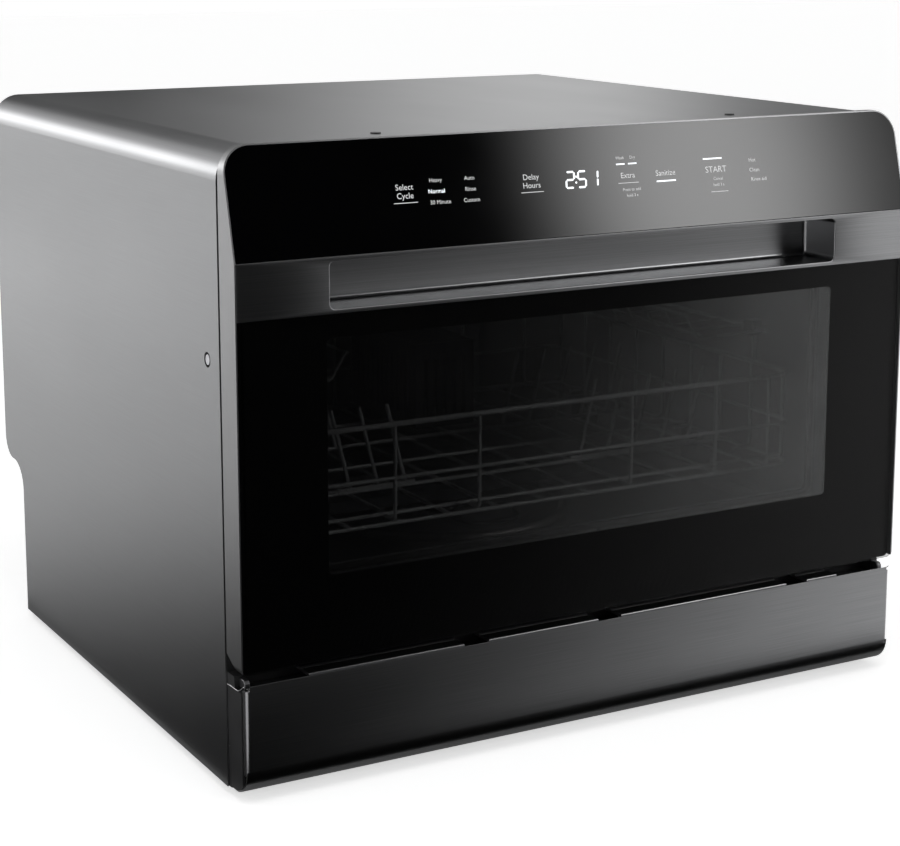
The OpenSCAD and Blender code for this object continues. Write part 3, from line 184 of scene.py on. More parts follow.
def glossy(name, color, rough, wipe=0.03, **constants):
    """Glass or gloss plastic: wide, faint wipe marks in its gloss and a slight waviness."""
    s = Shader(name, color, rough, **constants)
    marks = s.noise([9.0, 30.0, 14.0], detail=4.0, turn=(0.3, 0.2, 0.5))
    s.tint(s.noise([25.0] * 3), 0.9, 1.1)
    s.gloss(marks, rough, rough + wipe)
    s.bump(s.noise([6.0] * 3, detail=1.0), 0.05, 0.0004)
    return s


# ---------------------------------------------------------------- materials

STEEL_DARK = (0.262, 0.264, 0.270)
casing_steel = brushed("casing_brushed_steel", STEEL_DARK, 0.34, along=1, swing=0.04, bump=0.04)
door_steel = brushed("door_brushed_steel", STEEL_DARK, 0.30, along=0, swing=0.10)
rim_steel = brushed("door_rim_steel", (0.27, 0.27, 0.275), 0.36, along=2, swing=0.06)
rear_steel = brushed("rear_zinc_sheet", (0.30, 0.31, 0.32), 0.42, along=0, fine=220.0, swing=0.14)
# Darker than real stainless steel: painted shade for the dim inside of the closed tub, also used on the door liner and
# filter plate.
shaded_tub_steel = brushed("tub_steel_painted_shade", (0.40, 0.40, 0.405), 0.34, along=2, fine=1500.0, swing=0.07)
plated = brushed("zinc_plated", (0.50, 0.50, 0.52), 0.36, along=0, fine=500.0, swing=0.10)
heater_steel = brushed("heater_tube", (0.34, 0.33, 0.33), 0.38, along=0, fine=700.0, swing=0.16)
stop_steel = brushed("stop_steel", (0.16, 0.16, 0.165), 0.40, along=0, fine=500.0, swing=0.10)
# Lighter copy of the door steel: a painted highlight on the kick plate's side-facing ends and on the thin wire along
# the tops of its end cheeks.
edge_highlight_steel = brushed("kick_edge_painted_highlight", (0.52, 0.52, 0.53), 0.30, along=2, fine=900.0, swing=0.08)
wire_grey = moulded("coated_wire", (0.68, 0.69, 0.70), 0.30, grain=900.0, bump=0.10)
black_plastic = moulded("black_plastic", (0.018, 0.018, 0.019), 0.48)
grey_plastic = moulded("grey_plastic", (0.085, 0.09, 0.097), 0.44)
light_plastic = moulded("light_plastic", (0.62, 0.62, 0.60), 0.42)
blue_plastic = moulded("blue_plastic", (0.07, 0.12, 0.27), 0.38)
black_rubber = rubber("black_rubber", (0.018, 0.018, 0.018))
board_green = glossy("circuit_board", (0.02, 0.11, 0.05), 0.35)
frit = glossy("printed_border", (0.0015, 0.0015, 0.0015), 0.30, Specular_IOR_Level=0.2)
panel_glass = glossy("panel_glass", (0.0012, 0.0012, 0.0014), 0.05, Specular_IOR_Level=0.42)
door_tint = glossy("tinted_door_glass", (0.001, 0.001, 0.0012), 0.03, Alpha=0.30, Specular_IOR_Level=0.32)
window_film = glossy("window_film", (0.57, 0.58, 0.58), 0.18, metallic=1.0, Alpha=0.42)
pane_clear = glossy("inner_pane", (0.02, 0.02, 0.02), 0.06, Alpha=0.10)
# The white print glows a little though it is no lamp: a painted glow on the ink.
print_painted_glow = Shader("panel_print", (0.78, 0.79, 0.80), 0.5, Emission_Color=(1, 1, 1, 1), Emission_Strength=0.25)
print_painted_glow.tint(print_painted_glow.noise([400.0] * 3), 0.92, 1.05)
clock_light = Shader("clock_light", (0.9, 0.95, 1.0), 0.5, Emission_Color=(0.93, 0.97, 1, 1), Emission_Strength=1.1)
clock_light.tint(clock_light.noise([500.0] * 3), 0.95, 1.0)
for see_through in (door_tint, window_film, pane_clear):
    see_through.mat.surface_render_method = "BLENDED"

NODE_MATERIALS = {
    "outer_casing": casing_steel, "rear_panel": rear_steel, "base_tray": black_plastic, "feet": black_rubber,
    "kick_carrier": black_plastic, "kick_plate": door_steel, "tub": shaded_tub_steel, "front_frame": black_plastic,
    "tub_gasket": black_rubber, "door_strike": plated, "hinge_brackets": plated, "hinge_pins": plated,
    "casing_screws": plated, "top_plugs": black_plastic, "sump_housing": black_plastic,
    "filter_plate": shaded_tub_steel, "filter_cylinder": grey_plastic, "spray_arm_hub": black_plastic,
    "spray_arm": grey_plastic, "heating_element": heater_steel, "circulation_pump": black_plastic,
    "pump_impeller": light_plastic, "drain_pump": black_plastic, "drain_impeller": light_plastic,
    "inlet_valve": light_plastic, "drain_outlet": grey_plastic, "water_hoses": black_rubber,
    "cord_gland": black_plastic, "power_board": board_green, "overflow_float": light_plastic,
    "door_frame": rim_steel, "door_carrier": black_plastic, "control_panel": panel_glass,
    "handle_strip": door_steel, "door_glass": door_tint, "glass_border": frit, "window_pane": pane_clear,
    "window_seal": black_rubber, "door_liner": shaded_tub_steel, "control_board": board_green,
    "latch_housing": black_plastic, "latch_bolt": light_plastic, "hinge_arms": plated,
    "detergent_dispenser": grey_plastic, "detergent_lid": grey_plastic, "rinse_cap": blue_plastic,
    "rack_floor": wire_grey, "rack_front": wire_grey, "rack_rear": wire_grey, "rack_sides": wire_grey,
    "plate_tines": wire_grey, "bowl_tines": wire_grey, "rack_fittings": grey_plastic,
    "roller_front_left": grey_plastic, "roller_front_right": grey_plastic, "roller_rear_left": grey_plastic,
    "roller_rear_right": grey_plastic, "cup_shelf_left": wire_grey, "cup_shelf_right": wire_grey,
    "cutlery_basket": grey_plastic,
}
for name, shader in NODE_MATERIALS.items():
    NODES[name].data.materials.clear()
    NODES[name].data.materials.append(shader.mat)

# Small rounds on the moulded and folded parts, as modifiers over the unchanged CAD meshes
ROUNDED = {
    "base_tray": 0.5, "feet": 0.8, "front_frame": 0.4, "tub_gasket": 0.8, "hinge_brackets": 0.25, "hinge_arms": 0.3,
    "filter_plate": 0.2, "filter_cylinder": 0.3, "spray_arm": 1.4, "spray_arm_hub": 0.5, "sump_housing": 0.5,
    "circulation_pump": 0.6, "drain_pump": 0.6, "inlet_valve": 0.6, "drain_outlet": 0.4, "cord_gland": 0.8,
    "overflow_float": 0.5, "control_panel": 0.35, "door_glass": 0.35, "window_seal": 0.5, "latch_housing": 0.5,
    "latch_bolt": 0.5, "detergent_dispenser": 0.7, "detergent_lid": 0.5, "rinse_cap": 0.4, "rack_fittings": 0.7,
    "roller_front_left": 0.4, "roller_front_right": 0.4, "roller_rear_left": 0.4, "roller_rear_right": 0.4,
    "cutlery_basket": 0.35, "top_plugs": 0.4, "casing_screws": 0.3, "door_strike": 0.3,
}
for name, width in ROUNDED.items():
    weld = NODES[name].modifiers.new("weld", "WELD")
    weld.merge_threshold = 1e-6
    bevel = NODES[name].modifiers.new("edge", "BEVEL")
    bevel.width = width * MM
    bevel.segments = 2
    bevel.limit_method = "ANGLE"
    bevel.angle_limit = math.radians(38)
    bevel.use_clamp_overlap = True
    shade = NODES[name].modifiers.new("shade", "WEIGHTED_NORMAL")
    shade.mode = "FACE_AREA"
    shade.weight = 80

# ---------------------------------------------------------------- mesh helpers


def add_mesh(bm, name, shader, body, smooth_angle=40):
    """Turns a bmesh into a piece that rides on a body."""
    bmesh.ops.remove_doubles(bm, verts=bm.verts, dist=1e-6)
    bmesh.ops.recalc_face_normals(bm, faces=bm.faces)
    data = bpy.data.meshes.new(name)
    bm.to_mesh(data)
    bm.free()
    obj = bpy.data.objects.new(name, data)
    bpy.context.scene.collection.objects.link(obj)
    data.materials.append(shader.mat)
    data.shade_smooth()
    data.set_sharp_from_angle(angle=math.radians(smooth_angle))
    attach(obj, body)
    return obj


def rounded_loop(width, height, radius, depth, centre, steps=8):
    """Points of a rounded rectangle in X and Z about a centre, at one depth."""
    points = []
    for quarter in range(4):
        turn = quarter * math.pi / 2
        cx = (width / 2 - radius) * (1 if quarter in (0, 3) else -1)
        cz = (height / 2 - radius) * (1 if quarter in (0, 1) else -1)
        for i in range(steps + 1):
            a = turn + i * math.pi / 2 / steps
            points.append(Vector((centre[0] + cx + radius * math.cos(a), depth, centre[1] + cz + radius * math.sin(a))))
    return points


def skin(bm, loops, cap_first=False, cap_last=False):
    """Quads between closed loops of equal length."""
    rings = [[bm.verts.new(p) for p in loop] for loop in loops]
    count = len(rings[0])
    for low, high in zip(rings, rings[1:]):
        for i in range(count):
            j = (i + 1) % count
            bm.faces.new((low[i], low[j], high[j], high[i]))
    if cap_first:
        bm.faces.new(rings[0])
    if cap_last:
        bm.faces.new(rings[-1][::-1])
    return rings


# ---------------------------------------------------------------- handle strip

POCKET_W, POCKET_H, POCKET_R, POCKET_D = 416 * MM, 32 * MM, 4 * MM, 35 * MM


def handle_strip():
    """Folded steel strip with a pressed pocket: rolled rim, straight walls and a coved floor."""
    mid = ((strip_low.x + strip_high.x) / 2, (strip_low.z + strip_high.z) / 2)
    width, height = strip_high.x - strip_low.x, strip_high.z - strip_low.z
    fold, roll, cove = 0.15 * MM, 0.7 * MM, 2.6 * MM
    loops = []
    loops.append(rounded_loop(width, height, 0.6 * MM, DOOR_FRONT + 4 * MM, mid))
    for i in range(4):
        a = i / 3 * math.pi / 2
        inset = fold * (1 - math.cos(a))
        loops.append(rounded_loop(width - 2 * inset, height - 2 * inset, 0.6 * MM + 0.1 * MM * i,
                                  DOOR_FRONT + fold * (1 - math.sin(a)), mid))
    for i in range(6):
        a = i / 5 * math.pi / 2
        grow = roll * (1 - math.sin(a))
        loops.append(rounded_loop(POCKET_W + 2 * grow, POCKET_H + 2 * grow, POCKET_R + grow,
                                  DOOR_FRONT + roll * (1 - math.cos(a)), mid))
    for i in range(6):
        a = i / 5 * math.pi / 2
        shrink = cove * (1 - math.cos(a))
        loops.append(rounded_loop(POCKET_W - 2 * shrink, POCKET_H - 2 * shrink, POCKET_R - shrink * 0.5,
                                  DOOR_FRONT + POCKET_D - cove * (1 - math.sin(a)), mid))
    bm = bmesh.new()
    skin(bm, loops, cap_last=True)
    strip = add_mesh(bm, "handle_pocket", door_steel, "door", 35)
    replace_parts(strip, "handle_strip")


handle_strip()

# ---------------------------------------------------------------- window


COATING_IN, COATING_EDGE, COATING_GAP, COATING_R = 10 * MM, 0.1 * MM, 0.1 * MM, 3 * MM


def window_coating():
    """Thin reflective coating on the back of the door glass, inside its printed border."""
    pane_low, pane_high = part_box("window_pane")
    mid = ((pane_low.x + pane_high.x) / 2, (pane_low.z + pane_high.z) / 2)
    width, height = pane_high.x - pane_low.x - COATING_IN, pane_high.z - pane_low.z - COATING_IN
    bm = bmesh.new()
    outline = rounded_loop(width - COATING_EDGE, height - COATING_EDGE, COATING_R, glass_high.y + COATING_GAP, mid)
    bm.faces.new([bm.verts.new(point) for point in outline])
    return add_mesh(bm, "window_coating", window_film, "door", 35)


# Clear layers let the lamps through to the rack behind them
for clear_layer in (window_coating(), NODES["door_glass"], NODES["window_pane"]):
    clear_layer.visible_shadow = False

# ---------------------------------------------------------------- kick plate


def extruded(bm, profile, x0, x1):
    """Closed profile of (y, z) points in millimetres, drawn out along X with capped ends."""
    skin(bm, [[Vector((x, y, z)) * MM for y, z in profile] for x in (x0, x1)], True, True)


def arc(cy, cz, radius, start, end, steps=8):
    """Points of an arc in Y and Z, between two angles in degrees."""
    turns = [math.radians(start + (end - start) * i / steps) for i in range(steps + 1)]
    return [(cy + radius * math.cos(a), cz + radius * math.sin(a)) for a in turns]


def soften(obj, width, segments=2):
    bevel = obj.modifiers.new("edge", "BEVEL")
    bevel.width = width * MM
    bevel.segments = segments
    bevel.limit_method = "ANGLE"
    bevel.angle_limit = math.radians(38)


# The skin reaches this much past the solid at each end, as the photograph's edge does
KICK_END_OUT = 2.4


def kick_plate():
    """Folded plate: tucked-in bend below, hemmed top edge, rounded ends, and a beaded top flange with notches."""
    face, back = kick_low.y / MM, kick_high.y / MM
    low, top = kick_low.z / MM, kick_high.z / MM
    half = kick_high.x / MM + KICK_END_OUT
    sheet, bend, roll, corner, deep = 1.2, 19.0, 0.08, 3.0, 4.8
    tuck = [(face + 24, low)] + arc(face + bend, low + bend, bend, 270, 180, 14)
    tuck += arc(face + bend, low + bend, bend - sheet, 180, 270, 14) + [(face + 24, low + sheet)]
    wall = [(face, low + bend)] + arc(face + roll, top - roll, roll, 180, 90, 3)
    wall += [(face + 0.4, top - 0.5), (face + 1.2, top - 2.6), (face + 5, top - 2.6),
             (face + 5, top - 3.2), (face + sheet, top - 3.2), (face + sheet, low + bend)]
    bm = bmesh.new()
    extruded(bm, tuck, 0.3 - half, half - 0.3)
    extruded(bm, wall, corner - half, half - corner)
    bead = [(5.0, -1.6), (5.5, -0.5), (15.4, -0.15), (16.0, -1.5), (19.4, -1.5),
            (20.0, -0.5), (21.0, 0.0), (22.6, 0.0), (23.6, -0.5), (24.2, -1.5)]
    flange = [(face + y, top + z) for y, z in bead] + [(back, top - 1.5), (back, top - 2.7), (face + 5.0, top - 2.7)]
    for x0, x1 in ((-224.5, -105), (-85, 6), (26, 176), (196, 224.5)):
        extruded(bm, flange, x0, x1)
    for side in (-1, 1):
        outer = [(half - corner + corner * math.sin(a), face + corner - corner * math.cos(a))
                 for a in [i * math.pi / 12 for i in range(7)]]
        inner = [(half - corner + (corner - sheet) * math.sin(a), face + corner - (corner - sheet) * math.cos(a))
                 for a in [i * math.pi / 12 for i in range(6, -1, -1)]]
        plan = outer + [(half, face + deep), (half - sheet, face + deep)] + inner
        skin(bm, [[Vector((side * x, y, z)) * MM for x, y in plan] for z in (low + bend - 3, top - 3.4)], True, True)
    plate = add_mesh(bm, "kick_skin", door_steel, "cabinet", 35)
    # Faces that look sideways take the lighter steel: a painted highlight on the plate's ends.
    plate.data.materials.append(edge_highlight_steel.mat)
    for polygon in plate.data.polygons:
        if abs(polygon.normal.x) > 0.9:
            polygon.material_index = 1
    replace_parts(plate, "kick_plate")


def kick_ends():
    """A thin bright wire along the top of each end cheek, a painted highlight of that edge, and the dark hinge stop
    beside it.
    """
    runs = []
    for side in (-1, 1):
        path = [(274.1, -222.6, 77.7), (274.1, -229, 78.1), (274.1, -237, 78.2),
                (274.1, -241, 78.5), (273.9, -244, 80.2), (273.4, -248.4, 83.4)]
        runs.append(([Vector((side * x, y, z)) * MM for x, y, z in path], 0.35 * MM, False))
    wires("kick_end_painted_highlight", "cabinet", runs, shader=edge_highlight_steel)
    stop = [(-243.4, 79.0), (-234.4, 79.0), (-234.4, 84.6), (-238.5, 85.4), (-241.8, 85.2), (-243.4, 83.0)]
    bm = bmesh.new()
    for x0, x1 in ((-270.6, -266.6), (266.6, 270.6)):
        extruded(bm, stop, x0, x1)
    stops = add_mesh(bm, "hinge_stops", stop_steel, "cabinet", 35)
    soften(stops, 0.6, 3)


# ---------------------------------------------------------------- control panel print


def on_panel(x, z, lift=0.06 * MM):
    """Frame of a spot on the raked glass: X to the right, Y up the rake, Z out of it."""
    y = DOOR_FRONT + (z - strip_high.z) * math.tan(PANEL_RAKE)
    out = Vector((0, -math.cos(PANEL_RAKE), math.sin(PANEL_RAKE)))
    return Matrix.Translation(Vector((x, y, z)) + out * lift) @ Matrix.Rotation(math.pi / 2 - PANEL_RAKE, 4, "X")


def add_words(bm, words, x, z, size):
    """Centred words, turned into faces at a place in millimetres."""
    data = bpy.data.curves.new("words", "FONT")
    data.body = words
    data.size = size * MM
    data.align_x, data.align_y = "CENTER", "CENTER"
    data.resolution_u = 3
    maker = bpy.data.objects.new("words", data)
    faces = bpy.data.meshes.new_from_object(maker)
    faces.transform(on_panel(x * MM, z * MM))
    bm.from_mesh(faces)
    bpy.data.objects.remove(maker)
    bpy.data.curves.remove(data)
    bpy.data.meshes.remove(faces)


def add_outline(bm, outline, x, z):
    """One flat face from points in millimetres about a place on the glass."""
    place = on_panel(x * MM, z * MM)
    bm.faces.new([bm.verts.new(place @ Vector((u * MM, v * MM, 0))) for u, v in outline])


def add_bar(bm, x, z, width, height):
    w, h = width / 2, height / 2
    add_outline(bm, [(-w, -h), (w, -h), (w, h), (-w, h)], x, z)


def panel_print():
    big, small, tiny = 5.6, 3.9, 3.0
    words = [
        ("Select", -148, 404.4, big), ("Cycle", -148, 398.8, big),
        ("Heavy", -124, 407.8, small), ("30 Minute", -122, 393.4, small),
        ("Auto", -98, 407.8, small), ("Rinse", -98, 400.6, small), ("Custom", -98, 393.4, small),
        ("Delay", -50, 405.6, big), ("Hours", -50, 400.0, big),
        ("Wash", 24, 414.6, tiny), ("Dry", 34.5, 414.6, tiny), ("Extra", 29, 402.4, big),
        ("Press to add", 31, 392.8, tiny), ("hold 3 s", 31, 388.8, tiny),
        ("Sanitize", 61, 402.4, big), ("START", 105, 402.4, 6.4),
        ("Cancel", 106, 396.0, tiny), ("hold 3 s", 106, 391.8, tiny),
        ("Hot", 138, 407.4, small), ("Clean", 139, 400.4, small), ("Rinse aid", 142, 393.8, small),
    ]
    bars = [(-148, 394.4, 18, 0.45), (-50, 395.6, 18, 0.45), (29, 397.4, 17, 0.4), (106, 387.0, 15, 0.4)]
    bm = bmesh.new()
    for line in words:
        add_words(bm, *line)
    for bar in bars:
        add_bar(bm, *bar)
    add_mesh(bm, "panel_print", print_painted_glow, "door", 40)

    bm = bmesh.new()
    add_words(bm, "Normal", -124, 400.6, 4.1)
    for bar in [(24, 410.4, 7.2, 0.9), (34, 410.4, 7.2, 0.9), (61, 397.0, 16.5, 1.0), (103, 410.2, 16.5, 1.0)]:
        add_bar(bm, *bar)
    add_clock(bm, "2:51", -9, 402)
    add_mesh(bm, "panel_lights", clock_light, "door", 40)


SEGMENTS = {"2": "abged", "5": "afgcd", "1": "bc"}


def add_clock(bm, digits, x, z, height=11.0, width=6.3, pitch=9.7, stroke=1.35, slant=0.10):
    """Seven-segment figures, leaning a little to the right."""
    half, quarter, gap = height / 2, height / 4, 0.25
    lying = [(-width / 2 + gap, 0), (-width / 2 + gap + stroke / 2, stroke / 2),
             (width / 2 - gap - stroke / 2, stroke / 2), (width / 2 - gap, 0),
             (width / 2 - gap - stroke / 2, -stroke / 2), (-width / 2 + gap + stroke / 2, -stroke / 2)]
    scale = (half - 2 * gap) / (width - 2 * gap)
    upright = [(v, u * scale) for u, v in lying]
    places = {"a": (0, half), "g": (0, 0), "d": (0, -half), "b": (width / 2, quarter), "c": (width / 2, -quarter),
              "f": (-width / 2, quarter), "e": (-width / 2, -quarter)}
    centre = x - pitch
    for figure in digits:
        if figure == ":":
            for v in (quarter * 0.75, -quarter * 0.75):
                dot = [(math.cos(a) * 0.75 + v * slant, math.sin(a) * 0.75 + v)
                       for a in [i * math.pi / 6 for i in range(12)]]
                add_outline(bm, dot, centre - pitch / 2, z)
            continue
        for letter in SEGMENTS[figure]:
            u0, v0 = places[letter]
            bone = lying if letter in "agd" else upright
            add_outline(bm, [(u0 + u + (v0 + v) * slant, v0 + v) for u, v in bone], centre, z)
        centre += pitch


panel_print()

# ---------------------------------------------------------------- bent wires of the rack

WIRE, RIM_WIRE = 1.5 * MM, 2.0 * MM


def bent(points, radius, steps=5, closed=False):
    """The polyline through some points in millimetres with its corners turned into arcs, in metres."""
    points = [Vector(p) * MM for p in points]
    out = []
    for i, p in enumerate(points):
        if not closed and i in (0, len(points) - 1):
            out.append(p)
            continue
        back, on = (points[i - 1] - p).normalized(), (points[(i + 1) % len(points)] - p).normalized()
        half = back.angle(on) / 2
        centre = p + (back + on).normalized() * (radius * MM / math.sin(half))
        start = p + back * (radius * MM / math.tan(half)) - centre
        end = p + on * (radius * MM / math.tan(half)) - centre
        sweep = start.angle(end)
        for k in range(steps + 1):
            t = k / steps
            out.append(centre + (start * math.sin((1 - t) * sweep) + end * math.sin(t * sweep)) / math.sin(sweep))
    return out


def wires(name, body, runs, shader=None):
    """Round wires. Each run is (points, radius, closed)."""
    data = bpy.data.curves.new(name, "CURVE")
    data.dimensions = "3D"
    data.bevel_depth = 1.0
    data.bevel_resolution = 2
    data.use_fill_caps = True
    for points, radius, closed in runs:
        spline = data.splines.new("POLY")
        spline.points.add(len(points) - 1)
        for point, place in zip(spline.points, points):
            point.co = (*place, 1)
            point.radius = radius
        spline.use_cyclic_u = closed
    obj = bpy.data.objects.new(name, data)
    bpy.context.scene.collection.objects.link(obj)
    data.materials.append((shader or wire_grey).mat)
    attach(obj, body)
    return obj


def rack_wires():
    rim_r, wire_r = 2, 1.5
    half_x = rack_sides_high.x / MM - rim_r
    front, rear = rack_front_low.y / MM + rim_r, rack_rear_high.y / MM - rim_r
    rim_z, floor_z, mid_z = rack_front_high.z / MM - rim_r, rack_floor_low.z / MM + wire_r, 190
    cross_z = floor_z + 2.55
    around = [(-half_x, front), (half_x, front), (half_x, rear), (-half_x, rear)]
    runs = [(bent([(x, y, rim_z) for x, y in around], 14, closed=True), RIM_WIRE, True)]
    for z in (mid_z, floor_z):
        runs.append((bent([(x, y, z) for x, y in around], 13, closed=True), WIRE, True))
    for x in range(-200, 201, 40):
        runs.append(([Vector((x, front, floor_z)) * MM, Vector((x, rear, floor_z)) * MM], WIRE, False))
    in_front, in_rear = front + 2.2, rear - 2.2
    for i in range(6):
        y = in_front + 14 + i * (in_rear - in_front - 28) / 5
        runs.append(([Vector((-half_x, y, cross_z)) * MM, Vector((half_x, y, cross_z)) * MM], WIRE, False))
    posts = [(x, front, 1) for x in (-195, -125, -56, 76, 154, 205)]
    posts += [(-195 + i * 65, rear, -1) for i in range(7)]
    for x, y, into in posts:
        runs.append((bent([(x, y, rim_z), (x, y, floor_z + 1.5), (x, y + into * 16, floor_z + 1.5)], 5), WIRE, False))
    for i in range(9):
        y = front + 12 + i * (rear - front - 24) / 8
        for side in (-1, 1):
            x = side * half_x
            hook = [(x, y, rim_z), (x, y, floor_z + 1.5), (x - side * 16, y, floor_z + 1.5)]
            runs.append((bent(hook, 5), WIRE, False))
    for y in (front + 50, front + 250):
        for side in (-1, 1):
            x = side * half_x
            runs.append(([Vector((x, y, rim_z)) * MM, Vector((x, y, 251.8)) * MM], RIM_WIRE, False))
    rack = wires("rack_wires", "rack", runs)
    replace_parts(rack, "rack_front", "rack_rear", "rack_sides", "rack_floor")


def cup_shelf(side, body, node):
    """Wire shelf: hinge rail, edge rail, raised lip rail, and bars bent up into the lip."""
    clip, edge, lip, z = 225 * side, 159 * side, 147 * side, 258
    y0, y1 = -150.1, 89.9
    runs = [([Vector((clip, y0, z)) * MM, Vector((clip, y1, z)) * MM], WIRE, False)]
    for i in range(9):
        y = y0 + 3 + i * (y1 - y0 - 6) / 8
        runs.append((bent([(clip, y, z), (edge, y, z), (lip, y, z + 19)], 5), WIRE * 0.8, False))
    for x, up in ((edge + 4 * side, 1.9), (lip, 19)):
        runs.append(([Vector((x, y0, z + up)) * MM, Vector((x, y1, z + up)) * MM], WIRE, False))
    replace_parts(wires(f"{node}_wires", body, runs), node)


kick_plate()
kick_ends()
rack_wires()
cup_shelf(-1, "cup_shelf_left", "cup_shelf_left")
cup_shelf(1, "cup_shelf_right", "cup_shelf_right")

# ---------------------------------------------------------------- floor, light and camera


def background_rays(tree):
    """1 on rays that see the background: camera, glossy and transmission rays."""
    path = tree.nodes.new("ShaderNodeLightPath")
    seen = path.outputs["Is Camera Ray"]
    for kind in ("Is Glossy Ray", "Is Transmission Ray"):
        either = tree.nodes.new("ShaderNodeMath")
        either.operation = "MAXIMUM"
        tree.links.new(seen, either.inputs[0])
        tree.links.new(path.outputs[kind], either.inputs[1])
        seen = either.outputs[0]
    return seen


def floor():
    data = bpy.data.meshes.new("floor")
    bm = bmesh.new()
    bmesh.ops.create_grid(bm, x_segments=1, y_segments=1, size=12.0)
    bm.to_mesh(data)
    bm.free()
    obj = bpy.data.objects.new("floor", data)
    bpy.context.scene.collection.objects.link(obj)
    mat = bpy.data.materials.new("pale_floor")
    mat.use_nodes = True
    tree = mat.node_tree
    bsdf = tree.nodes["Principled BSDF"]
    bsdf.inputs["Base Color"].default_value = (0.88, 0.88, 0.88, 1)
    bsdf.inputs["Roughness"].default_value = 0.8
    bsdf.inputs["Specular IOR Level"].default_value = 0.1
    bsdf.inputs["Emission Color"].default_value = (1, 1, 1, 1)
    seen = tree.nodes.new("ShaderNodeMath")
    seen.operation = "MULTIPLY"
    seen.inputs[1].default_value = 0.60
    tree.links.new(background_rays(tree), seen.inputs[0])
    tree.links.new(seen.outputs[0], bsdf.inputs["Emission Strength"])
    data.materials.append(mat)


floor()


def place_facing(obj, place, target):
    obj.location = place
    obj.rotation_euler = (Vector(target) - Vector(place)).to_track_quat("-Z", "Y").to_euler()
    bpy.context.scene.collection.objects.link(obj)


def softbox(name, place, target, size, power, edge=0.35):
    """Rectangular lamp that is brightest in its middle and dies away towards its edges."""
    data = bpy.data.lights.new(name, "AREA")
    data.shape = "RECTANGLE"
    data.size, data.size_y = size
    data.energy = power
    data.use_nodes = True
    tree = data.node_tree
    emission = tree.nodes["Emission"]
    across = tree.nodes.new("ShaderNodeNewGeometry")
    from_middle = tree.nodes.new("ShaderNodeVectorMath")
    from_middle.operation = "DISTANCE"
    from_middle.inputs[1].default_value = (0.5, 0.5, 0)
    tree.links.new(across.outputs["Parametric"], from_middle.inputs[0])
    fade = tree.nodes.new("ShaderNodeMapRange")
    fade.interpolation_type = "SMOOTHERSTEP"
    fade.inputs["From Min"].default_value = 0.5
    fade.inputs["From Max"].default_value = 0.5 - edge
    fade.inputs["To Min"].default_value = 0.0
    fade.inputs["To Max"].default_value = 1.0
    tree.links.new(from_middle.outputs["Value"], fade.inputs["Value"])
    tree.links.new(fade.outputs["Result"], emission.inputs["Strength"])
    place_facing(bpy.data.objects.new(name, data), place, target)


def black_card(name, corners, along, fade_from, fade_to, strength=1.0):
    """Black sheet that darkens reflections only: a studio card, and painted shade where it lies on the floor as the
    object's shadow. It thins out between two places along a direction.
    """
    bm = bmesh.new()
    bm.faces.new([bm.verts.new(corner) for corner in corners])
    data = bpy.data.meshes.new(name)
    bm.to_mesh(data)
    bm.free()
    obj = bpy.data.objects.new(name, data)
    bpy.context.scene.collection.objects.link(obj)
    mat = bpy.data.materials.new(name)
    mat.use_nodes = True
    tree = mat.node_tree
    bsdf = tree.nodes["Principled BSDF"]
    bsdf.inputs["Base Color"].default_value = (0, 0, 0, 1)
    bsdf.inputs["Specular IOR Level"].default_value = 0
    coords = tree.nodes.new("ShaderNodeTexCoord")
    dot = tree.nodes.new("ShaderNodeVectorMath")
    dot.operation = "DOT_PRODUCT"
    dot.inputs[1].default_value = Vector(along).normalized()
    tree.links.new(coords.outputs["Object"], dot.inputs[0])
    fade = tree.nodes.new("ShaderNodeMapRange")
    fade.interpolation_type = "SMOOTHERSTEP"
    fade.inputs["From Min"].default_value = fade_from
    fade.inputs["From Max"].default_value = fade_to
    fade.inputs["To Min"].default_value = strength
    fade.inputs["To Max"].default_value = 0.0
    tree.links.new(dot.outputs["Value"], fade.inputs["Value"])
    tree.links.new(fade.outputs["Result"], bsdf.inputs["Alpha"])
    data.materials.append(mat)
    obj.visible_camera = False
    obj.visible_diffuse = False
    obj.visible_transmission = False
    obj.visible_shadow = False


def flat(z, *corners):
    return [(x, y, z) for x, y in corners]


def upright(y, x0, x1, z0, z1):
    return [(x0, y, z0), (x1, y, z0), (x1, y, z1), (x0, y, z1)]


softbox("softbox_right", (1.25, -1.75, 0.98), (0.14, -0.24, 0.40), (0.76, 1.3), 22, edge=0.5)
softbox("softbox_left_rear", (-1.25, 2.5, 0.75), (-0.27, 0.0, 0.30), (1.5, 1.1), 25, edge=0.4)
softbox("softbox_left", (-2.1, -0.55, 0.45), (-0.27, -0.23, 0.25), (0.35, 1.3), 9, edge=0.3)
softbox("softbox_above", (-0.3, -0.9, 2.4), (0.0, 0.0, 0.2), (1.6, 1.6), 26)
black_card("card_front", upright(-2.6, -3.0, 2.6, -0.1, 3.2), (1, 0, 0), 1.2, 2.4)
black_card("card_front_floor", flat(0.004, (-0.75, -2.6), (2.4, -2.6), (0.9, -0.26), (-0.31, -0.26)),
           (0.77, 0.64, 0), -0.45, 0.28, 1.0)
# The next two cards are painted shade: black sheets on the floor, seen only in reflections, standing in for the
# object's contact shadow and the shaded floor beneath it.
black_card("contact_shadow_card", flat(0.003, (-0.32, -0.46), (0.32, -0.46), (0.32, -0.249), (-0.32, -0.249)),
           (0, -1, 0), 0.27, 0.33)
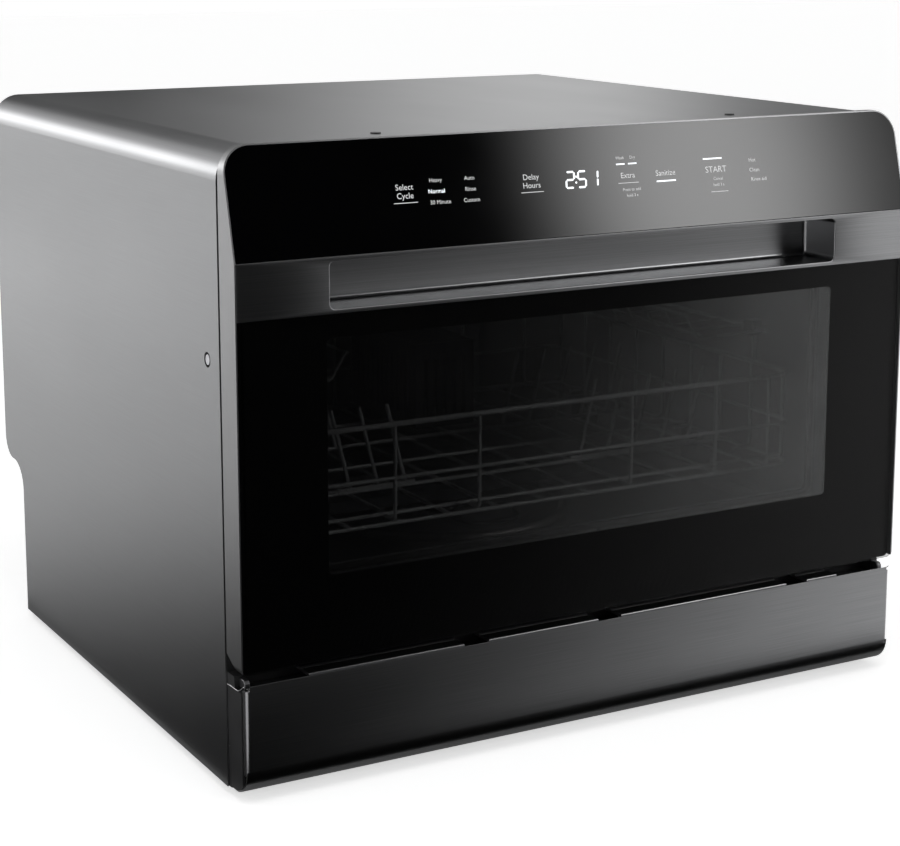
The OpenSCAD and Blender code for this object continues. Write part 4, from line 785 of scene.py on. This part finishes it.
black_card("under_shadow_card", flat(0.002, (-0.285, -0.249), (0.285, -0.249), (0.285, 0.26), (-0.285, 0.26)),
           (0, 1, 0), 1.0, 2.0, 0.8)
black_card("card_left_floor", flat(0.004, (-3, -0.26), (-0.28, -0.26), (-0.28, 2.6), (-3, 2.6)), (0, 1, 0), -0.20, 0.72)
black_card("card_left_far", flat(0.005, (-3, 0.0), (-0.28, 0.0), (-0.28, 2.6), (-3, 2.6)), (0, 1, 0), 0.3, 1.9, 0.25)
black_card("card_back", upright(2.9, -0.5, 2.4, 0.0, 2.2), (1, 0, 0), 0.65, 2.1)
black_card("card_back_right", upright(2.85, 1.9, 5.0, 0.0, 2.2), (-1, 0, 0), -2.75, -1.9)


def world():
    made = bpy.data.worlds.new("studio")
    bpy.context.scene.world = made
    made.use_nodes = True
    tree = made.node_tree
    background = tree.nodes["Background"]
    level = tree.nodes.new("ShaderNodeMapRange")
    level.inputs["To Min"].default_value = 0.40
    level.inputs["To Max"].default_value = 1.0
    tree.links.new(background_rays(tree), level.inputs["Value"])
    background.inputs["Color"].default_value = (1, 1, 1, 1)
    tree.links.new(level.outputs["Result"], background.inputs["Strength"])


world()

# Camera fitted to the photograph's straight edges
CAMERA_AT = Vector((-0.79065, -1.45364, 0.57305))
CAMERA_YAW, CAMERA_PITCH = math.radians(29.146), math.radians(10.429)
FOCAL_PX, FRAME_PX, AXIS_ABOVE_MIDDLE_PX = 2092.6, 900, 110
SENSOR = 36.0


def camera():
    data = bpy.data.cameras.new("camera")
    obj = bpy.data.objects.new("camera", data)
    bpy.context.scene.collection.objects.link(obj)
    data.sensor_fit = "HORIZONTAL"
    data.sensor_width = SENSOR
    data.lens = FOCAL_PX * SENSOR / FRAME_PX
    data.shift_y = -AXIS_ABOVE_MIDDLE_PX / FRAME_PX
    data.clip_start, data.clip_end = 0.05, 60
    obj.location = CAMERA_AT
    obj.rotation_euler = (math.pi / 2 - CAMERA_PITCH, 0, -CAMERA_YAW)
    bpy.context.scene.camera = obj


camera()
bpy.context.scene.view_settings.view_transform = "Standard"
